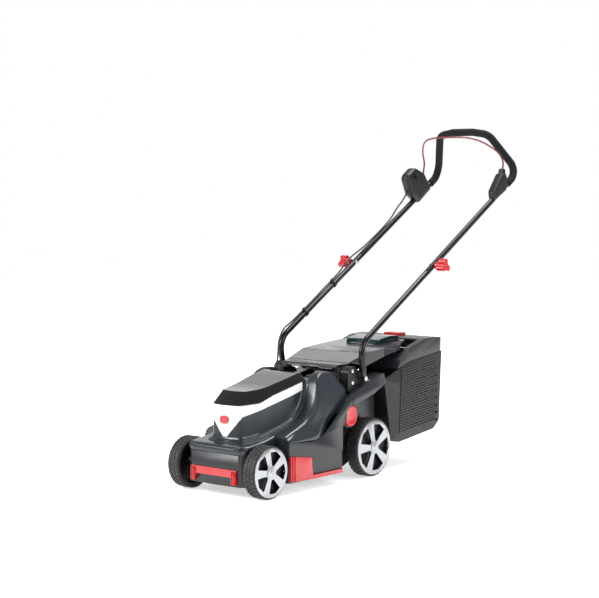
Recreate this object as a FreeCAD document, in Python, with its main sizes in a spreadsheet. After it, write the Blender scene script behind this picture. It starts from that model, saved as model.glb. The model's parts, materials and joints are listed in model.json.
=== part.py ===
import FreeCAD, Part
import math
import os

from FreeCAD import Placement, Rotation, Vector

os.makedirs("parts", exist_ok=True)
doc = FreeCAD.newDocument("push_mower")

# Everything is drawn with y = 0 at the front axle and z = 0 on the lawn; +X is the mower's left
# side and the front faces -Y. Each finished piece is then moved forward by "half_length", so that
# the origin is the middle of the mower's footprint.

# ---------------------------------------------------------------- driving dimensions (mm, degrees)
DIMENSIONS = [
    ("half_length", 619.5, "front axle to the middle of the footprint"),
    ("wall", 3, "thickness of the moulded shells"),
    ("front_radius", 77, "front tyre"),
    ("rear_radius", 90, "rear tyre"),
    ("front_face", 169, "outer face of a front wheel from the centre plane"),
    ("rear_face", 175, "outer face of a rear wheel from the centre plane"),
    ("tyre_width", 44, "width of every tyre"),
    ("rear_axle", 484, "wheelbase"),
    ("axle_rod", 5, "radius of the axle rods"),
    ("crank_back", 28, "crank pivot in front of its axle"),
    ("crank_up", 14, "crank pivot above its axle"),
    ("lever", 25, "crank pivot up to the height rod's pin"),
    ("blade_line", 190, "blade axis behind the front axle"),
    ("blade_height", 50, "underside of the blade"),
    ("blade_radius", 156, "blade axis to the blade's tip"),
    ("chamber_radius", 160, "inside of the cutting chamber"),
    ("deck_low", 33, "underside of the deck's rim"),
    ("deck_roof", 100, "top of the cutting chamber's roof"),
    ("deck_side", 165, "outer face of the deck's side panels"),
    ("front_side", 112, "outer face of the deck between the front wheels"),
    ("rear_side", 118, "outer face of the deck between the rear wheels"),
    ("tube_radius", 9.5, "handle tube"),
    ("tube_wall", 1.5, "wall of the handle tube"),
    ("tube_side", 160, "handle tubes from the centre plane"),
    ("foot_y", 450, "pivot of the lower handle"),
    ("foot_z", 306, "pivot of the lower handle"),
    ("clamp_y", 818, "clamp between the two handles"),
    ("clamp_z", 637, "clamp between the two handles"),
    ("lap", 42, "half length of the lap joint at the clamp"),
    ("grip_radius", 13, "foam grip"),
    ("bail_rod", 3, "radius of the switch bail's rod"),
    ("bail_y", 1224, "pivot of the switch bail"),
    ("bail_z", 935, "pivot of the switch bail"),
    ("cable_rod", 3, "radius of the cable"),
    ("box_side", 150, "half width of the grass box"),
    ("flap_side", 126, "half width of the discharge flap"),
    ("running", 0.05, "radial clearance of a running fit"),
]
sheet = doc.addObject("Spreadsheet::Sheet", "dims")
for row, (alias, number, meaning) in enumerate(DIMENSIONS, start=1):
    sheet.set(f"A{row}", meaning)
    sheet.set(f"B{row}", str(number))
    sheet.setAlias(f"B{row}", alias)
doc.recompute()


def dim(alias):
    """Value of one cell of the sheet, for outlines and routes."""
    return float(sheet.get(alias))


# ---------------------------------------------------------------- drawing helpers
SIDE = Rotation(Vector(0, 1, 0), Vector(0, 0, 1), Vector(1, 0, 0))     # drawn in (y, z), grows to +X
FRONT = Rotation(Vector(1, 0, 0), Vector(0, 0, 1), Vector(0, -1, 0))   # drawn in (x, z), grows to -Y
PLAN = Rotation()                                                      # drawn in (x, y), grows to +Z
ALONG_X = Rotation(Vector(0, 1, 0), 90)


def bind(item, **values):
    """Sets properties; text is an expression on the sheet, anything else is a plain value."""
    for name, value in values.items():
        if isinstance(value, str):
            item.setExpression(name.replace("__", "."), value)
        else:
            setattr(item, name, value)
    return item


def corner_arc(before, corner, after, radius):
    """Tangent arc that rounds one corner, as (start, middle, end)."""
    to_before = (before - corner).normalize()
    to_after = (after - corner).normalize()
    half = to_before.getAngle(to_after) / 2
    run = radius / math.tan(half)
    inward = (to_before + to_after).normalize()
    centre = corner + inward * (radius / math.sin(half))
    return corner + to_before * run, centre - inward * radius, corner + to_after * run


def joined(points, radii, closed):
    """Straight runs joined by tangent arcs, as Part curves."""
    count = len(points)
    curves, ends = [], []
    for i, (point, radius) in enumerate(zip(points, radii)):
        at_end = not closed and i in (0, count - 1)
        if radius and not at_end:
            start, middle, end = corner_arc(points[i - 1], point, points[(i + 1) % count], radius)
            ends.append((start, end, Part.Arc(start, middle, end)))
        else:
            ends.append((point, point, None))
    for i, (start, end, arc) in enumerate(ends):
        if arc:
            curves.append(arc)
        following = ends[(i + 1) % count][0]
        if (closed or i < count - 1) and end.distanceToPoint(following) > 1e-6:
            curves.append(Part.LineSegment(end, following))
    return curves


def sketch(name, outline, plane=PLAN, origin=(0, 0, 0)):
    """Closed outline of (u, v) or (u, v, corner radius) points in one plane."""
    points = [Vector(p[0], p[1], 0) for p in outline]
    radii = [p[2] if len(p) > 2 else 0 for p in outline]
    item = doc.addObject("Sketcher::SketchObject", name)
    item.addGeometry(joined(points, radii, True), False)
    item.Placement = Placement(Vector(*origin), plane)
    return item


def extrude(name, outline, plane, start, length):
    """Prism on an outline: it starts at a distance along the plane's normal and runs for length."""
    normal = plane.multVec(Vector(0, 0, 1))
    base = sketch(name + "_outline", outline, plane, tuple(normal * start))
    item = doc.addObject("Part::Extrusion", name)
    item.Base = base
    item.DirMode = "Normal"
    item.Solid = True
    return bind(item, LengthFwd=length)


def both_sides(half):
    """Outline drawn for x >= 0, from the centre plane round to it again, completed by its mirror."""
    mirrored = [(-p[0], *p[1:]) for p in reversed(half) if p[0] > 1e-6]
    return list(half) + mirrored


def inset(outline, gap):
    """The same outline moved inward by gap on every side (negative moves it outward)."""
    points = [Vector(p[0], p[1], 0) for p in outline]
    count = len(points)
    area = sum(points[i].x * points[(i + 1) % count].y - points[(i + 1) % count].x * points[i].y
               for i in range(count))
    turn = 1 if area > 0 else -1
    result = []
    for i, p in enumerate(points):
        before = (p - points[i - 1]).normalize()
        after = (points[(i + 1) % count] - p).normalize()
        normal_before = Vector(-before.y, before.x, 0) * turn
        normal_after = Vector(-after.y, after.x, 0) * turn
        middle = (normal_before + normal_after).normalize()
        moved = p + middle * (gap / middle.dot(normal_after))
        radius = outline[i][2] if len(outline[i]) > 2 else 0
        convex = (before.x * after.y - before.y * after.x) * turn > 0
        new_radius = max(radius - gap, 0) if convex else (radius + gap if radius else 0)
        result.append((moved.x, moved.y, new_radius))
    return result


def box(name, low, high):
    item = doc.addObject("Part::Box", name)
    item.Length, item.Width, item.Height = (high[i] - low[i] for i in range(3))
    item.Placement.Base = Vector(*low)
    return item


def cylinder(name, at, direction, radius, height):
    """Cylinder from a point along a rotation's Z."""
    item = doc.addObject("Part::Cylinder", name)
    item.Placement = Placement(Vector(*at), direction)
    return bind(item, Radius=radius, Height=height)


def rod(name, x_low, x_high, y, z, radius):
    """Round bar lying along X."""
    return cylinder(name, (x_low, y, z), ALONG_X, radius, x_high - x_low)


def fuse(name, *pieces):
    item = doc.addObject("Part::MultiFuse", name)
    item.Shapes = list(pieces)
    return item


def common(name, *pieces):
    item = doc.addObject("Part::MultiCommon", name)
    item.Shapes = list(pieces)
    return item


def cut(name, base, *tools):
    item = doc.addObject("Part::Cut", name)
    item.Base = base
    item.Tool = tools[0] if len(tools) == 1 else fuse(name + "_tools", *tools)
    return item


def sweep(name, points, radii, radius):
    """Round bar along straight runs joined by tangent arcs."""
    curves = joined([Vector(*p) for p in points], radii, False)
    path = doc.addObject("Part::Feature", name + "_path")
    path.Shape = Part.Wire([curve.toShape() for curve in curves])
    ring = doc.addObject("Part::Circle", name + "_ring")
    direction = Vector(*points[1]) - Vector(*points[0])
    ring.Placement = Placement(Vector(*points[0]), Rotation(Vector(0, 0, 1), direction))
    bind(ring, Radius=radius)
    item = doc.addObject("Part::Sweep", name)
    item.Sections = [ring]
    item.Spine = (path, [f"Edge{i + 1}" for i in range(len(curves))])
    item.Solid = True
    item.Frenet = False
    return item


NODES = []


def node(label, *pieces):
    """Closes one named piece, moved so that the footprint's middle is the origin."""
    item = doc.addObject("Part::Compound", label)
    item.Links = list(pieces)
    item.Label = label
    bind(item, Placement__Base__y="-dims.half_length")
    NODES.append(item)
    return item


WALL = dim("wall")
RUN = dim("running")

# ---------------------------------------------------------------- deck housing
side, front_side, rear_side = dim("deck_side"), dim("front_side"), dim("rear_side")
roof, low = dim("deck_roof"), dim("deck_low")
blade_y = dim("blade_line")
NOSE_Y, PANEL_FRONT, PANEL_REAR, DECK_REAR = -56, 84, 338, 355
FLANGE_Z = 127
crank_y, crank_z = -dim("crank_back"), dim("front_radius") + dim("crank_up")
rear_crank_y = dim("rear_axle") - dim("crank_back")
rear_crank_z = dim("rear_radius") + dim("crank_up")
BUTTON_Y, BUTTON_Z = 388, 197

DECK_PLAN = both_sides([
    (0, NOSE_Y), (94, NOSE_Y + 3, 14), (front_side, NOSE_Y + 20, 12), (front_side, PANEL_FRONT),
    (side, PANEL_FRONT, 8), (side, PANEL_REAR, 6), (rear_side, PANEL_REAR), (rear_side, DECK_REAR),
    (0, DECK_REAR)])
deck_outer = extrude("deck_outer", DECK_PLAN, PLAN, low, roof - low)
deck_inner = extrude("deck_inner", inset(DECK_PLAN, WALL), PLAN, low - 1, roof - low - WALL + 1)
deck_shell = cut("deck_shell", deck_outer, deck_inner)

# The chamber's round wall stands inside the deck, cut where it would leave the side panels.
chamber = common("chamber", cut(
    "chamber_ring",
    cylinder("chamber_out", (0, blade_y, low + 3), PLAN, "dims.chamber_radius + dims.wall", roof - low - 4),
    cylinder("chamber_in", (0, blade_y, low), PLAN, "dims.chamber_radius", roof)),
    extrude("chamber_limit", inset(DECK_PLAN, 1), PLAN, low, roof))

# Bumper wall in front, up to the cover's flange, and the same wall along the front wheels.
NOSE_PLAN = both_sides([
    (0, NOSE_Y), (94, NOSE_Y + 3, 14), (front_side, NOSE_Y + 20, 12), (front_side, PANEL_FRONT + 4),
    (0, PANEL_FRONT + 4)])
nose = cut("nose", extrude("nose_outer", NOSE_PLAN, PLAN, roof - 1, FLANGE_Z - roof + 1),
           extrude("nose_inner", inset(NOSE_PLAN, WALL), PLAN, roof - 2, FLANGE_Z),
           box("nose_open", (-front_side + WALL, PANEL_FRONT - 4, roof - 2),
               (front_side - WALL, PANEL_FRONT + 6, FLANGE_Z + 1)))

# Return walls close the step from the narrow nose to the wide side panels.
returns = [box(f"return_{tag}", (low_x, PANEL_FRONT, roof - 1),
               (low_x + side - front_side + WALL, PANEL_FRONT + WALL, 149))
           for tag, low_x in (("left", front_side - WALL), ("right", -side))]

# Two clips under the roof hold the front axle.
axle_clips = [box(f"clip_{i}", (x - 6, crank_y - 9, crank_z - 9), (x + 6, crank_y + 9, roof - 1))
              for i, x in enumerate((-60, 60))]

# Side panels above the deck, up to the crease below the shoulders, and the straps that run on over
# the rear wheels.
PANEL_SIDE = [(PANEL_FRONT, roof - 2), (PANEL_FRONT, 149, 5), (213, 143, 60), (256, 162, 60),
              (324, 216), (PANEL_REAR, 216), (PANEL_REAR, roof - 2)]
STRAP_SIDE = [(322, 172), (322, 214), (383, 258, 120), (473, 300, 120), (546, 314, 6), (557, 281, 6),
              (498, 256, 80), (447, 242, 80), (404, 234, 40), (368, 222, 20), (348, 172)]
panels, straps = [], []
for sign, tag in ((1, "left"), (-1, "right")):
    start = side - WALL if sign > 0 else -side
    panels.append(extrude("panel_" + tag, PANEL_SIDE, SIDE, start, WALL))
    inside = rear_side - WALL if sign > 0 else -side
    hollow = inside if sign > 0 else -side + WALL
    width = side - rear_side + WALL
    straps.append(cut("strap_" + tag, extrude("strap_outer_" + tag, STRAP_SIDE, SIDE, inside, width),
                      extrude("strap_inner_" + tag, inset(STRAP_SIDE, WALL), SIDE, hollow, width - WALL)))

# Plates inside the rear wheels carry the rear axle, the duct and the handle brackets.
PLATE_SIDE = [(334, low + 4), (334, 216), (383, 256), (473, 298), (546, 310), (557, 281), (560, 140),
              (540, 112, 20), (480, 66, 30), (400, low + 4)]
plates = [extrude("plate_left", PLATE_SIDE, SIDE, rear_side - WALL, WALL),
          extrude("plate_right", PLATE_SIDE, SIDE, -rear_side, WALL)]

# A short dark funnel on each plate surrounds the height button.
BUTTON_HALF_Y, BUTTON_HALF_Z = 29, 32


def oval(centre_y, centre_z, half_y, half_z):
    """Outline with strongly rounded corners round a centre."""
    r = 0.9 * min(half_y, half_z)
    return [(centre_y - half_y, centre_z - half_z, r), (centre_y + half_y, centre_z - half_z, r),
            (centre_y + half_y, centre_z + half_z, r), (centre_y - half_y, centre_z + half_z, r)]


funnel = extrude("funnel", oval(BUTTON_Y, BUTTON_Z, BUTTON_HALF_Y + 4, BUTTON_HALF_Z + 4),
                 SIDE, rear_side - 1, 36)
button_space = extrude("button_space", oval(BUTTON_Y, BUTTON_Z, BUTTON_HALF_Y + 1, BUTTON_HALF_Z + 1),
                       SIDE, rear_side + 2, 60)

bearing_holes = [
    rod("front_bearing", -front_side - 5, front_side + 5, crank_y, crank_z, "dims.axle_rod + dims.running"),
    rod("rear_bearing", -rear_side - 5, rear_side + 5, rear_crank_y, rear_crank_z,
        "dims.axle_rod + dims.running")]
MOTOR_HOLE = 24
LEVER_SLOT = 21
deck = cut(
    "deck_cut",
    fuse("deck_all", deck_shell, chamber, nose, *returns, *axle_clips, *panels, *straps, *plates, funnel),
    cylinder("motor_hole", (0, blade_y, roof - 10), PLAN, MOTOR_HOLE, 20),
    box("duct_hole", (-82, 276, low + 10), (82, 344, roof + 5)),
    box("lever_slot", (-96, crank_y - LEVER_SLOT, roof - 10), (-87, crank_y + LEVER_SLOT, roof + 5)),
    button_space, *bearing_holes)
node("deck_housing", deck)

# ---------------------------------------------------------------- discharge duct
DUCT_HALF, DUCT_REAR = 88, 560
DUCT_SIDE = [(270, roof), (352, roof), (424, 117, 20), (DUCT_REAR, 117), (DUCT_REAR, 296), (474, 296, 40),
             (340, 186, 30), (270, 132)]
duct = cut("duct", extrude("duct_outer", DUCT_SIDE, SIDE, -DUCT_HALF, 2 * DUCT_HALF),
           extrude("duct_inner", inset(DUCT_SIDE, WALL), SIDE, WALL - DUCT_HALF, 2 * (DUCT_HALF - WALL)),
           box("duct_mouth", (WALL - DUCT_HALF, 273, roof - 1), (DUCT_HALF - WALL, 349, roof + 12)),
           box("duct_exit", (WALL - DUCT_HALF, DUCT_REAR - 10, 120), (DUCT_HALF - WALL, DUCT_REAR + 1, 293)))
node("discharge_duct", duct)

# ---------------------------------------------------------------- motor cover with its shoulders
# Three outlines meet in the cover: its side view, its plan and its front view. The boat-shaped pod
# for the battery stands on it.
COVER_SIDE = [(NOSE_Y - 1, FLANGE_Z + 0.2), (NOSE_Y - 1, 143, 4), (-44, 150, 8), (40, 158, 60),
              (110, 177, 60), (180, 198, 60), (228, 240, 60), (264, 326, 22), (292, 338, 22),
              (338, 333, 16), (366, 300, 20), (384, 292, 8), (384, 262), (334, 220), (256, 163.5, 40),
              (213, 144.5, 40), (PANEL_FRONT - 0.2, 150.5), (PANEL_FRONT - 0.2, FLANGE_Z + 0.2)]
COVER_FRONT = both_sides([(0, 120), (side, 120), (side, 150), (151, 184, 20), (147, 232, 40),
                          (138, 288, 40), (128, 326, 14), (112, 340, 10), (0, 340)])
COVER_PLAN = both_sides([
    (0, NOSE_Y - 1), (95, NOSE_Y + 2, 14), (front_side + 1, NOSE_Y + 19, 12), (front_side + 1, PANEL_FRONT),
    (side, PANEL_FRONT, 8), (side, 386), (0, 386)])


def cover_body(name, gap):
    """The cover's outer body, or with a gap the hollow inside it."""
    return common(name,
                  extrude(name + "_side", inset(COVER_SIDE, gap), SIDE, -side - 5, 2 * side + 10),
                  extrude(name + "_front", inset(COVER_FRONT, gap), FRONT, -500, 700),
                  extrude(name + "_plan", inset(COVER_PLAN, gap), PLAN, 100, 300))


POD_PLAN = both_sides([(0, -13, 180), (56, -2, 16), (74, 60, 120), (89, 200, 200), (89, 264, 14), (0, 264)])
# The pod's top edge follows the lid; the white band lies just below it, 2 mm thick.
POD_SIDE = [(-30, 140), (-30, 257), (62, 261, 40), (113, 279, 60), (245, 311, 60), (270, 315), (270, 140)]
BAND_DEEP = 2
pod_outer = common("pod_outer", extrude("pod_plan", POD_PLAN, PLAN, 140, 200),
                   extrude("pod_side", POD_SIDE, SIDE, -100, 200))
pod_hollow = common("pod_hollow", extrude("pod_plan_in", inset(POD_PLAN, WALL + BAND_DEEP), PLAN, 120, 220))
BAND_SIDE = [(-2, 225), (-2, 262), (62, 266, 40), (113, 284, 60), (238, 314), (238, 285), (113, 254, 60)]
BAND_FRONT = both_sides([(0, 158, 6), (57, 224), (62, 240), (62, 262), (0, 262)])
band_zone = fuse("band_zone", extrude("band_zone_side", BAND_SIDE, SIDE, -100, 200),
                 extrude("band_zone_front", BAND_FRONT, FRONT, -2, 30))
band_skin = cut("band_skin", pod_outer, extrude("band_back", inset(POD_PLAN, BAND_DEEP), PLAN, 120, 220))
band = common("band", band_skin, band_zone)
node("cover_band", band)

strap_clear = [extrude(f"strap_clear_{i}", inset(STRAP_SIDE, -0.5), SIDE, start, side - rear_side + 9)
               for i, start in enumerate((rear_side - WALL - 1, -side - 5))]
carry_recess = box("carry_recess", (-92, 254, 304), (92, 400, 345))
carry_hollow = box("carry_hollow", (-96, 250.5, 301), (96, 400, 342))
cover_hollow = cut("cover_hollow", cover_body("cover_in", WALL), carry_hollow)
# The flap hinge's two ears pass the cover's rear edge.
EAR_IN, EAR_OUT = 106, 114.8
ear_clear = [box(f"ear_clear_{i}", (x - 0.6, 362, 228), (x + EAR_OUT - EAR_IN + 0.6, 400, 345))
             for i, x in enumerate((-EAR_OUT, EAR_IN))]
cover = cut("cover", fuse("cover_all", cut("cover_recessed", cover_body("cover_out", 0), carry_recess),
                          pod_outer),
            cover_hollow, pod_hollow, band, *strap_clear, *ear_clear,
            box("cover_floor", (-side + 3, PANEL_FRONT + 7, 110), (side - 3, 330, 147)),
            box("cover_nose_floor", (-109, NOSE_Y + 3, 110), (109, PANEL_FRONT + 20, 140)),
            box("cover_rear_open", (-112, 300, 150), (112, 400, 289)))
node("motor_cover", cover)

BADGE_FRONT = [(-15, 205, 11), (15, 205, 11), (15, 228, 11), (-15, 228, 11)]
badge = cut("badge_oval", extrude("badge_disc", BADGE_FRONT, FRONT, 5, 10.5),
            extrude("badge_back", POD_PLAN, PLAN, 120, 220))
node("badge", badge)

# ---------------------------------------------------------------- battery lid
LID_SIDE = [(-30, 257.4), (62, 261.4, 40), (113, 279.4, 60), (245, 311.4, 60), (270, 315.4), (270, 325),
            (262, 335, 6), (236, 333, 60), (173, 318, 80), (80, 298, 80), (18, 294, 20), (-7, 262, 4),
            (-30, 261)]
LID_FRONT = both_sides([(0, 240), (95, 240), (95, 300), (72, 336, 20), (0, 337)])
lid_outer = common("lid_outer", extrude("lid_plan", POD_PLAN, PLAN, 240, 110),
                   extrude("lid_side", LID_SIDE, SIDE, -100, 200))
lid_inner = common("lid_inner", extrude("lid_plan_in", inset(POD_PLAN, 3), PLAN, 230, 110),
                   extrude("lid_side_in", [(-3, 240), (-3, 264), (21, 291, 16), (80, 295, 80), (173, 315, 80),
                                           (236, 330, 60), (260, 331), (260, 240)], SIDE, -100, 200))
# The lid turns on a barrel moulded under its rear edge.
lid_barrel = rod("lid_barrel", -60, 60, 260, 331, 3)
node("battery_lid", fuse("lid", cut("lid_shell", lid_outer, lid_inner), lid_barrel))

# ---------------------------------------------------------------- motor, battery and electronics
MOTOR_RADIUS, MOTOR_TOP = 37, 176
node("motor_can", cut(
    "motor_shell", cylinder("motor_outer", (0, blade_y, roof), PLAN, MOTOR_RADIUS, MOTOR_TOP - roof),
    cylinder("motor_inner", (0, blade_y, roof + 3), PLAN, MOTOR_RADIUS - 3, MOTOR_TOP - roof - 6),
    cylinder("motor_bore", (0, blade_y, roof - 1), PLAN, 12, 90)))
BEARING_OUT, SHAFT = 12, 5
bearings = []
for i, z in enumerate((roof, MOTOR_TOP - 8)):
    ring = cylinder(f"bearing_out_{i}", (0, blade_y, z), PLAN, BEARING_OUT - 0.02, 8)
    bearings.append(cut(f"bearing_{i}", ring,
                        cylinder(f"bearing_in_{i}", (0, blade_y, z - 1), PLAN, SHAFT + RUN, 10)))
node("motor_bearings", *bearings)
BAY_HALF, BAY_FRONT, BAY_REAR, BAY_LOW = 44, 30, 176, 180
FLANGE_LOW, FLANGE_HIGH = 246, 249
bay_flange = extrude("bay_flange", inset(POD_PLAN, WALL + BAND_DEEP + 0.2), PLAN, FLANGE_LOW,
                     FLANGE_HIGH - FLANGE_LOW)
node("battery_bay", cut(
    "bay", fuse("bay_all", bay_flange,
                box("bay_outer", (-BAY_HALF, BAY_FRONT, BAY_LOW), (BAY_HALF, BAY_REAR, 250))),
    box("bay_inner", (-BAY_HALF + 3, BAY_FRONT + 3, BAY_LOW + 3), (BAY_HALF - 3, BAY_REAR - 3, 260)),
    box("key_slot", (54.7, 156.7, 230), (60.3, 169.3, 260))))
node("battery_pack", fuse(
    "pack", box("pack_body", (-38, 36, BAY_LOW + 3), (38, 170, 256)),
    box("pack_latch", (-16, 36, 250), (16, 60, 258))))
node("controller_board", box("board", (-40, 186, FLANGE_LOW - 3), (40, 252, FLANGE_LOW)))
node("safety_key", fuse("key", box("key_bow", (55, 150, FLANGE_HIGH), (60, 176, 276)),
                        box("key_shank", (55, 157, 226), (60, 169, 251))))

# ---------------------------------------------------------------- rotor: shaft, carrier, blade, bolt
blade_z = dim("blade_height")
shaft_foot = blade_z + 12
node("motor_shaft", cylinder("shaft", (0, blade_y, shaft_foot), PLAN, SHAFT, MOTOR_TOP + 2 - shaft_foot))
node("blade_carrier", cut(
    "carrier", fuse("carrier_all", cylinder("carrier_hub", (0, blade_y, blade_z + 12), PLAN, 11, 24),
                    cylinder("carrier_plate", (0, blade_y, blade_z + 4), PLAN, 26, 8)),
    cylinder("carrier_bore", (0, blade_y, blade_z + 12), PLAN, SHAFT, 30),
    cylinder("carrier_thread", (0, blade_y, blade_z), PLAN, 4, 20)))
BLADE_HALF_WIDTH = 22
blade_tip = dim("blade_radius")
blade_flat = extrude("blade_flat", [
    (-blade_tip + 4, -BLADE_HALF_WIDTH, 6), (blade_tip - 4, -BLADE_HALF_WIDTH + 6, 6),
    (blade_tip - 4, BLADE_HALF_WIDTH, 6), (-blade_tip + 4, BLADE_HALF_WIDTH - 6, 6)], PLAN, blade_z, 4)
blade = cut("blade_cut", blade_flat, cylinder("blade_bore", (0, 0, blade_z - 1), PLAN, 4.2, 6))
blade.Placement.Base = Vector(0, blade_y, 0)
node("blade", blade)
BOLT_HEX = [(8 * math.cos(math.radians(60 * i)), blade_y + 8 * math.sin(math.radians(60 * i)))
            for i in range(6)]
node("blade_bolt", fuse("bolt", cylinder("bolt_shank", (0, blade_y, blade_z - 2), PLAN, 3.98, 13),
                        extrude("bolt_head", BOLT_HEX, PLAN, blade_z - 8, 8)))

# ---------------------------------------------------------------- axles on cranks, and the height rod
ROD_LOW, ROD_HIGH = -98, -94


def crank(label, pivot_y, pivot_z, wall_side, face):
    """Pivot bar across the deck, an arm outside each side wall, an axle stub for each wheel."""
    arm_low = wall_side + 2.5
    axle_y, axle_z = pivot_y + dim("crank_back"), pivot_z - dim("crank_up")
    stub_end = face - 8
    pieces = [rod(label + "_bar", -arm_low - 1, arm_low + 1, pivot_y, pivot_z, "dims.axle_rod")]
    arm = link_outline((pivot_y, pivot_z), (axle_y, axle_z), 8)
    for sign, tag in ((1, "left"), (-1, "right")):
        low_x = arm_low if sign > 0 else -arm_low - 6
        pieces.append(extrude(f"{label}_arm_{tag}", arm, SIDE, low_x, 6))
        stub_low = arm_low + 1 if sign > 0 else -stub_end
        pieces.append(rod(f"{label}_stub_{tag}", stub_low, stub_low + stub_end - arm_low - 1,
                          axle_y, axle_z, "dims.axle_rod"))
    pin_z = pivot_z + dim("lever")
    pieces.append(extrude(label + "_lever", link_outline((pivot_y, pivot_z), (pivot_y, pin_z), 7),
                          SIDE, ROD_HIGH + 0.5, 4))
    pieces.append(rod(label + "_pin", ROD_LOW - 2, ROD_HIGH + 2, pivot_y, pin_z, 3))
    return node(label, fuse(label + "_all", *pieces))


def link_outline(start, end, radius):
    """Bar with two round ends, drawn round the line between two points."""
    a, b = Vector(*start, 0), Vector(*end, 0)
    along = (b - a).normalize() * radius
    across = Vector(-along.y, along.x, 0)
    corners = [a - along + across, a - along - across, b + along - across, b + along + across]
    return [(p.x, p.y, 0.98 * radius) for p in corners]


crank("front_axle", crank_y, crank_z, front_side, dim("front_face"))
crank("rear_axle", rear_crank_y, rear_crank_z, rear_side, dim("rear_face"))
pin_front, pin_rear = crank_z + dim("lever"), rear_crank_z + dim("lever")
rod_outline = link_outline((crank_y, pin_front), (rear_crank_y, pin_rear), 6.5)
node("height_rod", cut(
    "height_bar", extrude("height_flat", rod_outline, SIDE, ROD_LOW, ROD_HIGH - ROD_LOW),
    rod("height_hole_front", ROD_LOW - 3, ROD_HIGH + 3, crank_y, pin_front, 3 + RUN),
    rod("height_hole_rear", ROD_LOW - 3, ROD_HIGH + 3, rear_crank_y, pin_rear, 3.4)))

button_outline = oval(BUTTON_Y, BUTTON_Z, BUTTON_HALF_Y, BUTTON_HALF_Z)
BUTTON_LOW, BUTTON_HIGH = 142, 161
node("height_button", extrude("height_button_cap", button_outline, SIDE, BUTTON_LOW,
                              BUTTON_HIGH - BUTTON_LOW))
node("button_spring", cut(
    "button_coil", rod("button_coil_out", rear_side + 2.3, BUTTON_LOW, BUTTON_Y, BUTTON_Z, 8),
    rod("button_coil_in", rear_side, BUTTON_LOW + 1, BUTTON_Y, BUTTON_Z, 6.5)))

# ---------------------------------------------------------------- wheels
RIM_SHARE, BARREL_SHARE, SPOKES = 0.925, 0.86, 5


def wheel(name, sign, axle_y, radius, face):
    """Tyre and five-spoke rim of one wheel; its outer face looks along sign * X."""
    width = dim("tyre_width")
    barrel = BARREL_SHARE * radius

    def disc(tag, deep_out, deep_in, r):
        """Cylinder between two depths below the outer face."""
        x_low = face - deep_in if sign > 0 else -face + deep_out
        return rod(f"{name}_{tag}", x_low, x_low + deep_in - deep_out, axle_y, radius, r)

    tread = disc("tread", 0.5, width, radius)
    tyre = cut(name + "_tyre_cut", tread, disc("tyre_bore", -1, width + 1, barrel),
               disc("tyre_seat", -1, 5, RIM_SHARE * radius + 0.1))
    node(name + "_tyre", tyre)

    windows = []
    hub, window_out = 17, BARREL_SHARE * radius - 5
    for i in range(SPOKES):
        middle = math.radians(360 / SPOKES * i - 3)
        spread_in, spread_out = math.radians(13), math.radians(24)
        corners = [(hub + 4, -spread_in), (window_out - 1, -spread_out), (window_out + 2.5, 0),
                   (window_out - 1, spread_out), (hub + 4, spread_in)]
        outline = [(axle_y + r * math.cos(middle + a), radius + r * math.sin(middle + a), 3)
                   for r, a in corners]
        x_low = face - 7 if sign > 0 else -face - 2
        windows.append(extrude(f"{name}_window_{i}", outline, SIDE, x_low, 9))
    rim = cut(
        name + "_rim_cut",
        fuse(name + "_rim_all", disc("flange", 0, 4.9, RIM_SHARE * radius),
             cut(name + "_barrel", disc("barrel_out", 4, width - 1, barrel - 0.1),
                 disc("barrel_in", 3, width, barrel - 3.5)),
             disc("web", 16, 19, barrel - 2), disc("hub_out", -2, width - 3, hub)),
        disc("hub_bore", 7, width + 1, "dims.axle_rod + dims.running"), *windows)
    node(name + "_rim", rim)


for sign, tag in ((1, "left"), (-1, "right")):
    wheel(f"front_{tag}", sign, 0, dim("front_radius"), dim("front_face"))
    wheel(f"rear_{tag}", sign, dim("rear_axle"), dim("rear_radius"), dim("rear_face"))

# ---------------------------------------------------------------- red trims
BAR_LOW, BAR_HIGH, FIN_LOW = 60, 82, 40
TRIM_FRONT = both_sides([(0, BAR_LOW), (68, BAR_LOW), (72, FIN_LOW), (88, FIN_LOW),
                         (88, BAR_HIGH, 3), (0, BAR_HIGH)])
fins = [box(f"bumper_fin_{i}", (x - 1.5, NOSE_Y - 8, FIN_LOW), (x + 1.5, NOSE_Y - 3, BAR_HIGH - 4))
        for i, x in enumerate((-84, -78, -72, 72, 78, 84))]
trim_body = fuse("bumper_trim_all", extrude("bumper_trim_bar", TRIM_FRONT, FRONT, -NOSE_Y - 6, 10), *fins)
node("bumper_trim", cut("bumper_trim_cut", trim_body, extrude("bumper_back", DECK_PLAN, PLAN, 20, 120)))

TRIM_SIDE = [(PANEL_FRONT + 1, 38), (PANEL_FRONT + 1, 112), (184, 98, 5), (190, 44.5, 5),
             (334, 44.5), (334, 33), (190, 33), (150, 34)]


def side_trim(label, sign):
    """Red guard behind a front wheel, with its standing ribs and its strip along the deck's rim."""
    start = side if sign > 0 else -side - 3.5
    ribs = [box(f"{label}_rib_{i}", (side + 3 if sign > 0 else -side - 6, y, 38),
                (side + 6 if sign > 0 else -side - 3, y + 4, 112 - 0.13 * (y - PANEL_FRONT)))
            for i, y in enumerate((86, 96, 106))]
    node(label, fuse(label + "_all", extrude(label + "_plate", TRIM_SIDE, SIDE, start, 3.5), *ribs))


side_trim("side_trim_left", 1)
side_trim("side_trim_right", -1)

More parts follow.
